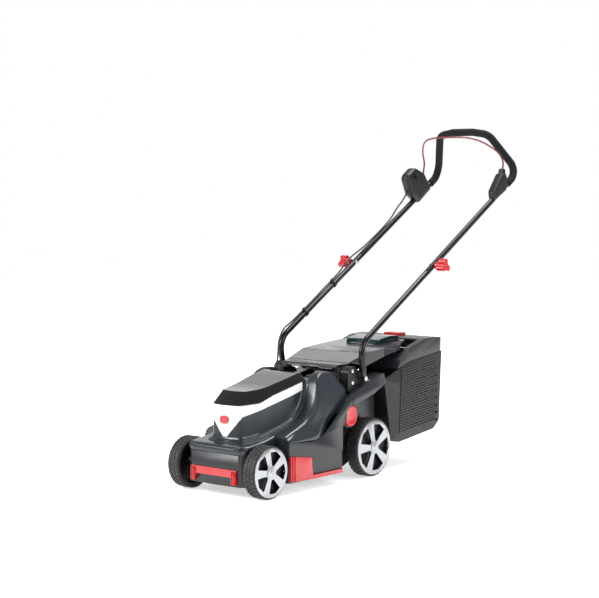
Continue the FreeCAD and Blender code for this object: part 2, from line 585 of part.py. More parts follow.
# ---------------------------------------------------------------- handle brackets, pivots and screws
foot_y, foot_z = dim("foot_y"), dim("foot_z")
tube_x, tube_r = dim("tube_side"), dim("tube_radius")
BRACKET_IN, BRACKET_OUT = rear_side, 147
PIVOT_BOLT = 4
BRACKET_SIDE = [(388, 262, 8), (386, 330, 14), (398, 344, 12), (424, 344, 12), (436, 326, 12),
                (458, 322, 12), (466, 306, 8), (460, 292, 8), (420, 274, 10)]
SCREW_SPOTS = ((407, 331), (407, 295))
for sign, tag in ((1, "left"), (-1, "right")):
    start = BRACKET_IN + 0.2 if sign > 0 else -BRACKET_OUT
    thick = BRACKET_OUT - BRACKET_IN - 0.2
    spots = ((foot_y, foot_z, PIVOT_BOLT), *((*spot, 3) for spot in SCREW_SPOTS))
    bores = [rod(f"bracket_bore_{tag}_{i}", -200, 200, y, z, r) for i, (y, z, r) in enumerate(spots)]
    node(f"handle_bracket_{tag}", cut(
        f"bracket_cut_{tag}", extrude(f"bracket_{tag}", BRACKET_SIDE, SIDE, start, thick),
        *bores, *strap_clear))

screws, pivots = [], []
for sign, tag in ((1, "left"), (-1, "right")):
    for i, (y, z) in enumerate(SCREW_SPOTS):
        lows = (BRACKET_OUT - 16, BRACKET_OUT) if sign > 0 else (-BRACKET_OUT, -BRACKET_OUT - 3)
        screws.append(fuse(f"screw_{tag}_{i}",
                           rod(f"screw_shank_{tag}_{i}", lows[0], lows[0] + 16, y, z, 2.98),
                           rod(f"screw_head_{tag}_{i}", lows[1], lows[1] + 3, y, z, 5.5)))
    low_x, head_x = (BRACKET_OUT - 20, tube_x + 5) if sign > 0 else (-tube_x - 5, -tube_x - 9)
    pivots.append(fuse(f"pivot_{tag}", rod(f"pivot_shank_{tag}", low_x, low_x + tube_x + 25 - BRACKET_OUT,
                                           foot_y, foot_z, PIVOT_BOLT - 0.01),
                       rod(f"pivot_head_{tag}", head_x, head_x + 4, foot_y, foot_z, 7)))
node("bracket_screws", *screws)
node("pivot_bolts", *pivots)

# ---------------------------------------------------------------- handle tubes
clamp_y, clamp_z = dim("clamp_y"), dim("clamp_z")
KNEE_Y, KNEE_Z = 430.4, 407.1
slope = math.atan2(clamp_z - KNEE_Z, clamp_y - KNEE_Y)
along = Vector(0, math.cos(slope), math.sin(slope))
upward = Vector(0, -math.sin(slope), math.cos(slope))
clamp = Vector(0, clamp_y, clamp_z)
lap = dim("lap")
TUBE_INSIDE = "dims.tube_radius - dims.tube_wall"
BOLT = 3


def on_tube(x, distance, rise=0):
    """Point beside the straight tubes: distance from the clamp, and rise above the tube's line."""
    p = clamp + along * distance + upward * rise
    return (x, p.y, p.z)


def lap_box(name, x_low, x_high, start, end):
    """Block along the tubes that takes one half off a lap joint."""
    item = doc.addObject("Part::Box", name)
    item.Length, item.Width, item.Height = x_high - x_low, end - start, 40
    corner = on_tube(x_low, start, -20)
    item.Placement = Placement(Vector(*corner), Rotation(Vector(1, 0, 0), math.degrees(slope)))
    return item


FOOT = Vector(0, foot_y, foot_z)
FOOT_TOP = FOOT + (Vector(0, KNEE_Y, KNEE_Z) - FOOT).normalize() * 22
for sign, tag in ((1, "left"), (-1, "right")):
    x = sign * tube_x
    route = [(x, FOOT_TOP.y, FOOT_TOP.z), (x, KNEE_Y, KNEE_Z), on_tube(x, lap)]
    bends = [0, 60, 0]
    outer = sweep(f"lower_{tag}_outer", route, bends, "dims.tube_radius")
    inner = sweep(f"lower_{tag}_inner", route, bends, TUBE_INSIDE)
    tongue_outline = link_outline((foot_y, foot_z), (FOOT_TOP.y - 2, FOOT_TOP.z + 10), 9)
    tongue = extrude(f"lower_{tag}_tongue", tongue_outline, SIDE, x - 4, 8)
    outer_half = (tube_x - 0.2, tube_x + 20) if sign > 0 else (-tube_x - 20, -tube_x + 0.2)
    tube = cut(f"lower_{tag}_cut", fuse(f"lower_{tag}_all", cut(f"lower_{tag}_pipe", outer, inner), tongue),
               lap_box(f"lower_{tag}_lap", *outer_half, -lap - 3, lap + 20),
               rod(f"lower_{tag}_hole", x - 20, x + 20, clamp_y, clamp_z, BOLT + RUN),
               rod(f"lower_{tag}_pivot", x - 20, x + 20, foot_y, foot_z, PIVOT_BOLT - 0.01 + RUN))
    node(f"lower_tube_{tag}", tube)

# The upper tube is one bent loop: straight up from the clamp, a hook back, then inward and forward to
# the bar that the hands hold.
HOOK = [(tube_x, 1297, 921.5), (157, 1313, 957), (100, 1236, 1069)]
HOOK_BENDS = [45, 42, 42]
BAR_Y, BAR_Z = 1228, 1078
GRIP_START = 517
loop = [on_tube(tube_x, -lap), *HOOK, (40, BAR_Y, BAR_Z), *[(-x, y, z) for x, y, z in
        ((40, BAR_Y, BAR_Z), *reversed(HOOK))], on_tube(-tube_x, -lap)]
loop_bends = [0, *HOOK_BENDS, 20, 20, *reversed(HOOK_BENDS), 0]
loop_outer = sweep("upper_outer", loop, loop_bends, "dims.tube_radius")
loop_inner = sweep("upper_inner", loop, loop_bends, TUBE_INSIDE)
upper_holes = [rod(f"upper_hole_{i}", x - 20, x + 20, clamp_y, clamp_z, BOLT)
               for i, x in enumerate((tube_x, -tube_x))]
node("upper_tube", cut("upper_cut", loop_outer, loop_inner,
                       lap_box("upper_lap_left", tube_x - 20, tube_x + 0.2, -lap - 20, lap + 3),
                       lap_box("upper_lap_right", -tube_x - 0.2, 20 - tube_x, -lap - 20, lap + 3),
                       *upper_holes))
grip_route = [on_tube(tube_x, GRIP_START), *loop[1:-1], on_tube(-tube_x, GRIP_START)]
node("foam_grip", cut("grip_cut", sweep("grip_outer", grip_route, loop_bends, "dims.grip_radius"),
                      sweep("grip_inner", grip_route, loop_bends, "dims.tube_radius + 0.3")))

clamp_bolts, knob_x = [], tube_x + 13
for sign, tag in ((1, "left"), (-1, "right")):
    ends = (tube_x - 14, tube_x + 44) if sign > 0 else (-tube_x - 44, -tube_x + 14)
    head = tube_x - 14 if sign > 0 else -tube_x + 10.5
    clamp_bolts.append(fuse(f"clamp_bolt_{tag}",
                            rod(f"clamp_shank_{tag}", *ends, clamp_y, clamp_z, BOLT - 0.01),
                            rod(f"clamp_head_{tag}", head, head + 3.5, clamp_y, clamp_z, 7)))
node("clamp_bolts", *clamp_bolts)

LOBES, LOBE_OUT, LOBE_RADIUS = 3, 14, 9.5
for sign, tag in ((1, "left"), (-1, "right")):
    low_x = knob_x if sign > 0 else -knob_x - 38
    star_x = low_x + 14 if sign > 0 else low_x
    pieces = [rod(f"knob_neck_{tag}", low_x, low_x + 38, clamp_y, clamp_z, 12)]
    for i in range(LOBES):
        angle = math.radians(360 / LOBES * i + 90)
        pieces.append(rod(f"knob_lobe_{tag}_{i}", star_x, star_x + 24, clamp_y + LOBE_OUT * math.cos(angle),
                          clamp_z + LOBE_OUT * math.sin(angle), LOBE_RADIUS))
    bore_low = low_x - 1 if sign > 0 else low_x + 5
    node(f"clamp_knob_{tag}", cut(
        f"knob_cut_{tag}", fuse(f"knob_all_{tag}", *pieces),
        rod(f"knob_bore_{tag}", bore_low, bore_low + 34, clamp_y, clamp_z, BOLT + RUN)))

# ---------------------------------------------------------------- switch box, bail and its bracket
bail_y, bail_z = dim("bail_y"), dim("bail_z")
BAIL_X = tube_x + 3
tube_clear = [cylinder(f"tube_clear_{i}", on_tube(x, 330), Rotation(Vector(0, 0, 1), along),
                       "dims.tube_radius + 0.4", 190) for i, x in enumerate((tube_x, -tube_x))]
BOX_SIDE_VIEW = [(1172, 826, 8), (1135, 852, 12), (1092, 930, 14), (1150, 964, 14), (1212, 944, 12),
                 (1238, 906, 10), (1257, 880, 8)]
SWITCH_OUT, SWITCH_IN = -182, -138
START_Y, START_Z, START_RADIUS = 1150, 925, 8
switch_walls = cut("switch_walls",
                   extrude("switch_outer", BOX_SIDE_VIEW, SIDE, SWITCH_OUT, SWITCH_IN - SWITCH_OUT),
                   extrude("switch_inner", inset(BOX_SIDE_VIEW, WALL), SIDE, SWITCH_OUT + WALL,
                           SWITCH_IN - SWITCH_OUT - 2 * WALL))
node("switch_box", cut(
    "switch_cut", switch_walls, tube_clear[1],
    box("bail_slot", (-BAIL_X - 5, 1192, 896), (-BAIL_X + 5, 1270, 990)),
    rod("bail_bore_right", -BAIL_X, SWITCH_IN + 2, bail_y, bail_z, "dims.bail_rod + dims.running"),
    rod("start_hole", SWITCH_IN - 6, SWITCH_IN + 2, START_Y, START_Z, START_RADIUS + 0.3)))
node("start_button", rod("start_cap", SWITCH_IN - 2, SWITCH_IN + 6, START_Y, START_Z, START_RADIUS))

BAIL_CLAMP = [(1164, 836, 4), (1242, 873, 6), (1254, 896, 6), (1244, 906, 4), (1160, 866, 6)]
BAIL_EAR = [(1192, 872), (1240, 890), (1246, 925, 8), (1236, 950, 10), (1212, 950, 10), (1203, 925, 8)]
node("bail_bracket", cut(
    "bail_bracket_cut", fuse("bail_bracket_all", extrude("bail_clamp", BAIL_CLAMP, SIDE, tube_x - 18, 34),
                             extrude("bail_ear", BAIL_EAR, SIDE, tube_x - 18, 14)),
    tube_clear[0],
    rod("bail_bore_left", tube_x - 30, tube_x + 10, bail_y, bail_z, "dims.bail_rod + dims.running")))

bail_half = [(BAIL_X, 1233, 975), (158, 1212, 1008), (118, 1161, 1046), (70, 1142, 1058)]
bail_route = [(BAIL_X - 16, bail_y, bail_z), (BAIL_X, bail_y, bail_z), *bail_half,
              *[(-x, y, z) for x, y, z in reversed(bail_half)], (-BAIL_X, bail_y, bail_z),
              (-BAIL_X + 16, bail_y, bail_z)]
bail_bends = [0, 6, 20, 25, 30, 30, 30, 30, 25, 20, 6, 0]
node("bail", sweep("bail_sweep", bail_route, bail_bends, "dims.bail_rod"))

# ---------------------------------------------------------------- cable, held along the right tube
CABLE_RISE = tube_r + dim("cable_rod") + 1.5
CABLE_X = -tube_x


def cable(label, route):
    """Stretch of cable with the largest arcs that its runs allow."""
    points = [Vector(*p) for p in route]
    radii = [0]
    for before, point, after in zip(points, points[1:], points[2:]):
        half_turn = (math.pi - (before - point).getAngle(after - point)) / 2
        shorter = min((before - point).Length, (after - point).Length)
        radii.append(0.45 * shorter / math.tan(half_turn))
    radii.append(0)
    print(label, "arc radii:", [round(r) for r in radii[1:-1]])
    node(label, sweep(label + "_sweep", route, radii, "dims.cable_rod"))


cable("cable_upper", [on_tube(CABLE_X, 340, 34), on_tube(CABLE_X, 300, 30), on_tube(CABLE_X, 262, 17),
                      on_tube(CABLE_X, 222, CABLE_RISE + 1), on_tube(CABLE_X, 170, CABLE_RISE),
                      on_tube(CABLE_X - 1, 120, CABLE_RISE + 0.5), on_tube(CABLE_X, 84, CABLE_RISE + 2)])
cable("cable_loop", [on_tube(CABLE_X, 83, CABLE_RISE + 2), on_tube(CABLE_X + 1, 48, CABLE_RISE + 5),
                     on_tube(CABLE_X, 5, CABLE_RISE + 11), on_tube(CABLE_X - 1, -40, CABLE_RISE + 9),
                     on_tube(CABLE_X, -83, CABLE_RISE + 2)])
cable("cable_lower", [on_tube(CABLE_X, -85, CABLE_RISE + 2), on_tube(CABLE_X, -122, CABLE_RISE),
                      on_tube(CABLE_X - 1, -172, CABLE_RISE + 0.6), on_tube(CABLE_X, -226, CABLE_RISE),
                      on_tube(CABLE_X + 1, -276, CABLE_RISE + 0.8), on_tube(CABLE_X, -330, CABLE_RISE),
                      on_tube(CABLE_X, -377, CABLE_RISE + 1)])
cable("cable_base", [on_tube(CABLE_X, -379, CABLE_RISE + 1), on_tube(CABLE_X, -418, CABLE_RISE + 6),
                     (CABLE_X + 8, 416, 408), (CABLE_X + 20, 398, 380), (CABLE_X + 34, 380, 352),
                     (CABLE_X + 42, 364, 326)])

CLIP_SPOTS = (-130, -300)


def tube_clip(name, distance):
    """Band round the tube with an eye for the cable, open where the two lie."""
    direction = Rotation(Vector(0, 0, 1), along)
    start = distance - 5
    return cut(name, fuse(name + "_all",
                          cylinder(name + "_band", on_tube(CABLE_X, start), direction, tube_r + 2.5, 10),
                          cylinder(name + "_eye", on_tube(CABLE_X, start, CABLE_RISE), direction, 6, 10)),
               cylinder(name + "_tube", on_tube(CABLE_X, distance - 9), direction, tube_r + 0.1, 20),
               cylinder(name + "_cable", on_tube(CABLE_X, distance - 9, CABLE_RISE), direction, 4.2, 20))


node("cable_clips", *[tube_clip(f"clip_{i}", distance) for i, distance in enumerate(CLIP_SPOTS)])

# ---------------------------------------------------------------- discharge flap
HINGE_Y, HINGE_Z = 392, 336
flap_side = dim("flap_side")
FLAP_TOP = [(366, 344, 3), (424, 352, 60), (505, 377, 80), (600, 385, 200), (690, 391, 200), (776, 397)]
FLAP_SIDE = [*FLAP_TOP, (776, 393), (690, 387, 200), (600, 381, 200), (507, 373.5, 80), (424, 348, 60),
             (404, 345.5), (402, 330, 3), (384, 328, 3), (380, 340), (366, 340)]
FLAP_PLAN = both_sides([(0, 360), (98, 360, 20), (flap_side - 8, 420, 40), (flap_side, 500, 60),
                        (flap_side, 688, 10), (80, 776, 12), (0, 776)])
SKIRT_SIDE = [(440, 354), (440, 350.5), (470, 344), (505, 336, 10), (600, 358, 40), (640, 366),
              (688, 372), (688, 388), (600, 383), (505, 375)]
flap_sheet = common("flap_sheet", extrude("flap_profile", FLAP_SIDE, SIDE, -flap_side, 2 * flap_side),
                    extrude("flap_plan", FLAP_PLAN, PLAN, 300, 150))
skirts = common("skirts", cut("skirt_ring", extrude("skirt_outer", FLAP_PLAN, PLAN, 300, 150),
                              extrude("skirt_inner", inset(FLAP_PLAN, WALL), PLAN, 290, 170)),
                extrude("skirt_profile", SKIRT_SIDE, SIDE, -flap_side - 5, 2 * flap_side + 10))
WINDOW_PLAN = both_sides([(0, 640), (56, 640, 8), (64, 660, 10), (64, 764, 10), (52, 772, 6), (0, 772)])
window_hole = extrude("window_hole", inset(WINDOW_PLAN, 6), PLAN, 300, 150)
hinge_bore = rod("hinge_bore", -200, 200, HINGE_Y, HINGE_Z, 3 + RUN)
knuckle_gap = [box(f"knuckle_gap_{i}", (x_low, 370, 320), (x_high, 403, 343.5))
               for i, (x_low, x_high) in enumerate(((-86, -30), (30, 86)))]
end_gap = [rod(f"end_gap_{i}", x, x + 30, HINGE_Y, HINGE_Z, 12.5) for i, x in enumerate((-134.5, 104.5))]
node("rear_flap", cut("flap_cut", fuse("flap_all", flap_sheet, skirts), window_hole, hinge_bore, *knuckle_gap,
                      *end_gap))

WINDOW_SIDE = [(640, 388.2), (654, 403, 8), (716, 411, 30), (760, 409, 10), (772, 397.2), (690, 391.4, 200)]
window = common("window", extrude("window_plan", WINDOW_PLAN, PLAN, 380, 40),
                extrude("window_side", WINDOW_SIDE, SIDE, -70, 140))
node("flap_window", cut("window_cut", window, common(
    "window_in", extrude("window_plan_in", inset(WINDOW_PLAN, 3), PLAN, 370, 40),
    extrude("window_side_in", [(640, 380), (640, 388), (655, 400, 8), (716, 408, 30), (758, 406, 10),
                               (772, 396), (772, 380)], SIDE, -70, 140))))
node("flap_pin", rod("flap_pin_rod", -110, 110, HINGE_Y, HINGE_Z, 3))
node("flap_spring", cut("flap_coil", rod("flap_coil_out", 34, 82, HINGE_Y, HINGE_Z, 5.5),
                        rod("flap_coil_in", 30, 90, HINGE_Y, HINGE_Z, 4)))
# A bridge between the plates carries the hinge pin in two ears.
EAR_SIDE = [(370, 236), (384, 300), (384, 336, 8), (400, 343, 6), (402, 300), (424, 262), (424, 236)]
ears = [extrude(f"ear_{i}", EAR_SIDE, SIDE, x, EAR_OUT - EAR_IN) for i, x in enumerate((-EAR_OUT, EAR_IN))]
bridge = box("ear_bridge", (-EAR_OUT, 398, 262), (EAR_OUT, 404, 290))
node("hinge_bridge", cut("bridge_cut", fuse("bridge_all", *ears, bridge),
                         rod("ear_bore", -110.2, 110.2, HINGE_Y, HINGE_Z, 3.0)))

# ---------------------------------------------------------------- grass box
box_half = dim("box_side")
SHELL_SIDE = [(568, 289, 3), (605, 90, 14), (648, 83, 40), (840, 104, 30), (872, 128, 20), (884, 356),
              (701, 335, 120)]
MOUTH_HALF = 86
shell = cut("shell", extrude("shell_outer", SHELL_SIDE, SIDE, -box_half, 2 * box_half),
            extrude("shell_inner", inset(SHELL_SIDE, WALL), SIDE, WALL - box_half, 2 * (box_half - WALL)),
            extrude("shell_top_open",
                    [(590, 280), (701, 322), (878, 345), (878, 370), (701, 350), (590, 308)],
                    SIDE, WALL - box_half, 2 * (box_half - WALL)),
            box("shell_mouth", (-MOUTH_HALF, 560, 122), (MOUTH_HALF, 620, 276)))
SLOT_ROWS, SLOTS_PER_ROW = 8, 6
slots = []
for row in range(SLOT_ROWS):
    for i in range(SLOTS_PER_ROW):
        y, z = 712 + 26 * i, 130 + 24 * row
        slots.append(box(f"slot_{row}_{i}", (-box_half - 5, y, z), (box_half + 5, y + 18, z + 6)))
node("box_shell", cut("shell_grille", shell, *slots))

LID_BOX_SIDE = [(640, 317), (701, 336, 120), (884, 357.5), (902, 359, 3), (903, 386, 6), (894, 399, 10),
                (850, 404, 40), (784, 401), (700, 376, 30), (655, 342, 20)]
BOX_LID_PLAN = both_sides([(0, 600), (box_half, 600), (box_half, 903, 34), (0, 903)])
lid_body = common("box_lid_body", extrude("box_lid_side", LID_BOX_SIDE, SIDE, -box_half, 2 * box_half),
                  extrude("box_lid_plan", BOX_LID_PLAN, PLAN, 300, 150))
lid_space = common("box_lid_space",
                   extrude("box_lid_side_in", inset(LID_BOX_SIDE, WALL), SIDE, -box_half, 2 * box_half),
                   extrude("box_lid_plan_in", inset(BOX_LID_PLAN, WALL), PLAN, 290, 170))
GRIP_Y, GRIP_HALF = 827, 30
node("box_lid", cut(
    "box_lid_cut", lid_body, lid_space,
    box("flap_recess", (-flap_side - 3, 600, 359), (flap_side + 3, 779, 420)),
    extrude("box_lid_open", [(650, 310), (701, 334), (880, 352), (880, 364), (701, 345), (655, 330)], SIDE,
            WALL - box_half, 2 * (box_half - WALL)),
    box("grip_recess", (-GRIP_HALF - 3, 838, 390), (GRIP_HALF + 3, 880, 420))))
grip_handle = fuse("grip_handle", box("grip_bar", (-GRIP_HALF, 812, 400), (GRIP_HALF, 838, 412)),
                   box("grip_lip", (-GRIP_HALF, 837, 398), (GRIP_HALF, 850, 412)))
node("box_grip", cut("grip_cut_down", grip_handle, lid_body))

# ---------------------------------------------------------------- check and write
doc.recompute()
for item in doc.Objects:
    if "Invalid" in item.State or "Error" in item.State:
        raise RuntimeError(f"{item.Label} failed: {item.State}")
for item in NODES:
    shape = item.Shape
    if shape.isNull() or not shape.isValid() or not shape.Solids:
        raise RuntimeError(f"{item.Label} has no valid solid")
    print(f"{item.Label}: {len(shape.Solids)} solid(s), {shape.Volume / 1000:.1f} cm3")
for item in NODES:
    item.Shape.exportStep(f"parts/{item.Label}.step")
print(len(NODES), "nodes")
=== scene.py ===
import json
import math

import bmesh
import bpy
from mathutils import Matrix, Vector


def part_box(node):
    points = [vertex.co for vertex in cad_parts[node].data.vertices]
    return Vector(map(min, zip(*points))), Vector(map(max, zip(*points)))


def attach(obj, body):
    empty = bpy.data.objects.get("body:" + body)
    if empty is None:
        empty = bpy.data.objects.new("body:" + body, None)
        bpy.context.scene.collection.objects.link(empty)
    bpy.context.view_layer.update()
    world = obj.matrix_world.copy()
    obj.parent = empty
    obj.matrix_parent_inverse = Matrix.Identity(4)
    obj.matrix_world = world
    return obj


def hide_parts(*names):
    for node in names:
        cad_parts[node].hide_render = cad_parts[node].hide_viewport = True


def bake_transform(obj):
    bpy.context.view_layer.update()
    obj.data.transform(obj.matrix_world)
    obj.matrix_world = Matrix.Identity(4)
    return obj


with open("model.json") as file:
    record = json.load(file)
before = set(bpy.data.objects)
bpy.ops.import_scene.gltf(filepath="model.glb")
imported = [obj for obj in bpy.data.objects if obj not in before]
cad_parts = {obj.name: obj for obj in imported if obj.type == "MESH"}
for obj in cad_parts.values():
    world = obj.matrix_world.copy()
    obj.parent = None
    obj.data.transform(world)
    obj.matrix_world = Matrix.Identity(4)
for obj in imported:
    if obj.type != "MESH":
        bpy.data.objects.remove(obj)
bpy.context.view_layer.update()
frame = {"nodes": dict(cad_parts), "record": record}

# ---- deck housing: the mower's main moulding, anthracite polypropylene with a fine spark-eroded
# grain. Bumper wall, side panels, wheel straps and chamber are one injection-moulded piece, with
# every outer edge rounded by the mould maker.


TINT_PATCH, GLOSS_PATCH = 0.045, 0.02
GRAIN_HEIGHT = 0.0002


def moulded_plastic(name, colour, roughness, grain=0.0009, grain_depth=0.25, mottle=0.12, coat=0.0,
                    specular=0.5, metal=0.0, dust=0.0):
    """Moulded polymer: slightly uneven tint and gloss, with the mould's fine grain as bump."""
    material = bpy.data.materials.new(name)
    material.use_nodes = True
    nodes, links = material.node_tree.nodes, material.node_tree.links
    shader = nodes["Principled BSDF"]
    shader.inputs["Specular IOR Level"].default_value = specular
    shader.inputs["Metallic"].default_value = metal
    shader.inputs["Coat Weight"].default_value = coat
    shader.inputs["Coat Roughness"].default_value = 0.06
    place = nodes.new("ShaderNodeTexCoord")

    def noise(size, detail):
        texture = nodes.new("ShaderNodeTexNoise")
        texture.inputs["Scale"].default_value = 1 / size
        texture.inputs["Detail"].default_value = detail
        links.new(place.outputs["Object"], texture.inputs["Vector"])
        return texture.outputs["Fac"]

    tint = nodes.new("ShaderNodeValToRGB")
    dark = [c * (1 - mottle) for c in colour]
    light = [min(c * (1 + mottle) + dust, 1) for c in colour]
    tint.color_ramp.elements[0].position, tint.color_ramp.elements[1].position = 0.3, 0.7
    tint.color_ramp.elements[0].color = (*dark, 1)
    tint.color_ramp.elements[1].color = (*light, 1)
    links.new(noise(TINT_PATCH, 5), tint.inputs["Fac"])
    links.new(tint.outputs["Color"], shader.inputs["Base Color"])
    gloss = nodes.new("ShaderNodeMapRange")
    gloss.inputs["To Min"].default_value = roughness * 0.85
    gloss.inputs["To Max"].default_value = min(roughness * 1.15, 1)
    links.new(noise(GLOSS_PATCH, 3), gloss.inputs["Value"])
    links.new(gloss.outputs["Result"], shader.inputs["Roughness"])
    if grain_depth:
        bump = nodes.new("ShaderNodeBump")
        bump.inputs["Strength"].default_value = grain_depth
        bump.inputs["Distance"].default_value = GRAIN_HEIGHT
        links.new(noise(grain, 2), bump.inputs["Height"])
        links.new(bump.outputs["Normal"], shader.inputs["Normal"])
    return material


def shown(name, mesh, material, body, *nodes):
    """Puts a finished mesh in the scene, riding on its body, in place of its CAD nodes."""
    mesh.materials.clear()
    mesh.materials.append(material)
    piece = bpy.data.objects.new(name, mesh)
    bpy.context.scene.collection.objects.link(piece)
    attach(piece, body)
    if nodes:
        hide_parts(*nodes)
    return piece


def body_of(node):
    """The CAD body that lists a node."""
    return next(name for name, held in frame["record"]["behaviour"]["bodies"].items() if node in held)


SEAM_GAP = 0.00001
FLAT_WITHIN = 0.6


def moulded_copy(node):
    """The CAD node's outline as a closed shell with its flat faces joined up."""
    shell = bmesh.new()
    shell.from_mesh(frame["nodes"][node].data)
    bmesh.ops.remove_doubles(shell, verts=shell.verts, dist=SEAM_GAP)
    bmesh.ops.dissolve_limit(shell, angle_limit=math.radians(FLAT_WITHIN), verts=shell.verts,
                             edges=shell.edges, use_dissolve_boundaries=False)
    return shell


def rounded_edges(shell, radius, sharp=32, steps=3):
    """Rounds the edges that a mould maker would round, where both faces leave room for it."""
    limit = math.radians(sharp)
    chosen = []
    for edge in shell.edges:
        if len(edge.link_faces) != 2 or edge.calc_face_angle(0) < limit:
            continue
        if edge.calc_length() < radius * 0.8:
            continue
        chosen.append(edge)
    bmesh.ops.bevel(shell, geom=chosen, offset=radius, segments=steps, profile=0.5, affect="EDGES",
                    clamp_overlap=True, loop_slide=True)


def soft_shaded(shell, name, sharp=38):
    """Closes the shell into a mesh, smooth apart from its real creases."""
    mesh = bpy.data.meshes.new(name)
    shell.to_mesh(mesh)
    shell.free()
    mesh.shade_smooth()
    mesh.set_sharp_from_angle(angle=math.radians(sharp))
    return mesh


def softened(node, radius, material, sharp=32, steps=3):
    """A moulding shown with rounded edges in place of its CAD node."""
    shell = moulded_copy(node)
    rounded_edges(shell, radius, sharp, steps)
    name = node + "_moulding"
    return shown(name, soft_shaded(shell, name), material, body_of(node), node)


anthracite = moulded_plastic("anthracite_polypropylene", (0.012, 0.014, 0.017), 0.34, grain_depth=0.12,
                             specular=0.42)
softened("deck_housing", 0.0022, anthracite)

# ---- drive, blade and height linkage: plated steel motor can, shafts, cranks, rod and springs, and a
# ground steel blade bolted below. The battery bay is black polypropylene, the safety key red ABS and
# the controller a coated board; they keep the shapes that the assembly gives them.


def finish_in(material, *nodes):
    """Gives CAD nodes their finish in every slot that they have."""
    for node in nodes:
        mesh = frame["nodes"][node].data
        for i in range(max(len(mesh.materials), 1)):
            if i < len(mesh.materials):
                mesh.materials[i] = material
            else:
                mesh.materials.append(material)


zinc = moulded_plastic("zinc_plating", (0.62, 0.63, 0.66), 0.22, grain_depth=0.15, metal=1.0)
finish_in(zinc, "motor_can", "motor_bearings", "motor_shaft", "blade_carrier", "blade_bolt", "front_axle",
          "rear_axle", "height_rod", "flap_pin", "flap_spring", "button_spring")
blade_steel = moulded_plastic("ground_blade_steel", (0.36, 0.37, 0.39), 0.32, grain_depth=0.3, metal=1.0)
finish_in(blade_steel, "blade")
black = moulded_plastic("black_polypropylene", (0.0045, 0.0048, 0.0055), 0.42, grain_depth=0.15,
                        specular=0.35)
finish_in(black, "battery_bay")
red = moulded_plastic("red_abs", (0.43, 0.004, 0.007), 0.26, grain_depth=0.1, mottle=0.06, coat=0.25)
finish_in(red, "safety_key")
circuit = moulded_plastic("circuit_board_mask", (0.01, 0.09, 0.04), 0.35, grain_depth=0.1)
finish_in(circuit, "controller_board")


# ---- motor cover: satin blue-black shell. Its top runs level over the nose and then sweeps up into
# two shoulders beside the battery lid, and a boat-shaped pod for the battery stands on it; moulded in
# polypropylene and screwed down on the deck's flange.
MM = 0.001
REAR_SHIFT = -0.6195
COVER_TOP = [(-57, 139), (-55.5, 143), (-51, 147), (-44, 149.5), (-20, 152), (10, 155), (40, 159),
             (75, 166.5), (84, 169), (84.6, 169.2), (110, 177), (145, 186.5), (180, 199), (205, 216),
             (222, 236), (236, 262), (248, 290), (258, 311), (268, 324), (280, 332), (296, 336.5),
             (318, 335), (338, 331), (350, 321), (360, 309), (368, 300.5), (376, 296), (384, 292)]
COVER_FOOT = [(-57, 127.2), (84, 127.2), (84.6, 150.5), (213, 147), (232, 153), (256, 165), (334, 220.5),
              (384, 262)]
COVER_WIDTH = [(120, 165), (150, 165), (184, 151), (232, 147), (288, 138), (322, 129), (340, 120)]
COVER_REACH = [(-57, 84), (-55.5, 92), (-51, 100), (-44, 108.5), (-37, 112), (-30, 113), (84, 113),
               (84.6, 163), (92, 165), (384, 165)]
COVER_WALL, CARRY_FLOOR = 0.003, 304
POD_PLAN = [(0, -13, 180), (56, -2, 16), (74, 60, 120), (89, 200, 200), (89, 264, 14), (0, 264, 0)]
POD_TOP = [(-30, 257), (50, 260.2), (62, 261.5), (75, 265), (113, 279), (245, 311), (270, 315)]


def read_off(line, at):
    """Value of a line drawn through (position, value) pairs."""
    if at <= line[0][0]:
        return line[0][1]
    for (a, low), (b, high) in zip(line, line[1:]):
        if at <= b:
            return low + (high - low) * (at - a) / (b - a)
    return line[-1][1]


def corner_arc(before, corner, after, radius):
    """Hub, first spoke and bend of the arc that rounds a corner between its neighbours."""
    here = Vector(corner)
    back_way = (Vector(before) - here).normalized()
    on_way = (Vector(after) - here).normalized()
    half = back_way.angle(on_way) / 2
    reach = radius / math.tan(half)
    hub = here + (back_way + on_way).normalized() * radius / math.sin(half)
    start, end = here + back_way * reach - hub, here + on_way * reach - hub
    return hub, start, math.atan2(start.x * end.y - start.y * end.x, start.dot(end))


def rounded_plan(corners, step=8.0):
    """Right half of an outline, from front centre to rear centre, with an arc at each corner."""
    x, y, radius = corners[0]
    half = math.atan2(corners[1][0], corners[1][1] - y)
    front_hub = y + radius / math.sin(half)
    line = [Vector((radius * math.sin(turn), front_hub - radius * math.cos(turn)))
            for turn in [(math.pi / 2 - half) * i / 5 for i in range(6)]]
    for before, (x, y, radius), after in zip(corners, corners[1:], corners[2:]):
        hub, start, bend = corner_arc(before[:2], (x, y), after[:2], radius)
        turns = max(4, int(abs(bend) / math.radians(7)))
        for i in range(turns + 1):
            line.append(hub + Matrix.Rotation(bend * i / turns, 2) @ start)
    line.append(Vector(corners[-1][:2]))
    full = [line[0]]
    for point in line[1:]:
        gap = (point - full[-1]).length
        if gap < 0.05:
            continue
        origin = full[-1].copy()
        pieces = max(1, int(gap / step))
        full += [origin.lerp(point, (i + 1) / pieces) for i in range(pieces)]
    return full


def outward(line):
    """Directions that point out of a right half outline at each of its points."""
    ways = []
    for i in range(len(line)):
        along = line[min(i + 1, len(line) - 1)] - line[max(i - 1, 0)]
        ways.append(Vector((along.y, -along.x)).normalized())
    ways[0], ways[-1] = Vector((0, -1)), Vector((0, 1))
    return ways


WELD_GAP = 0.000005


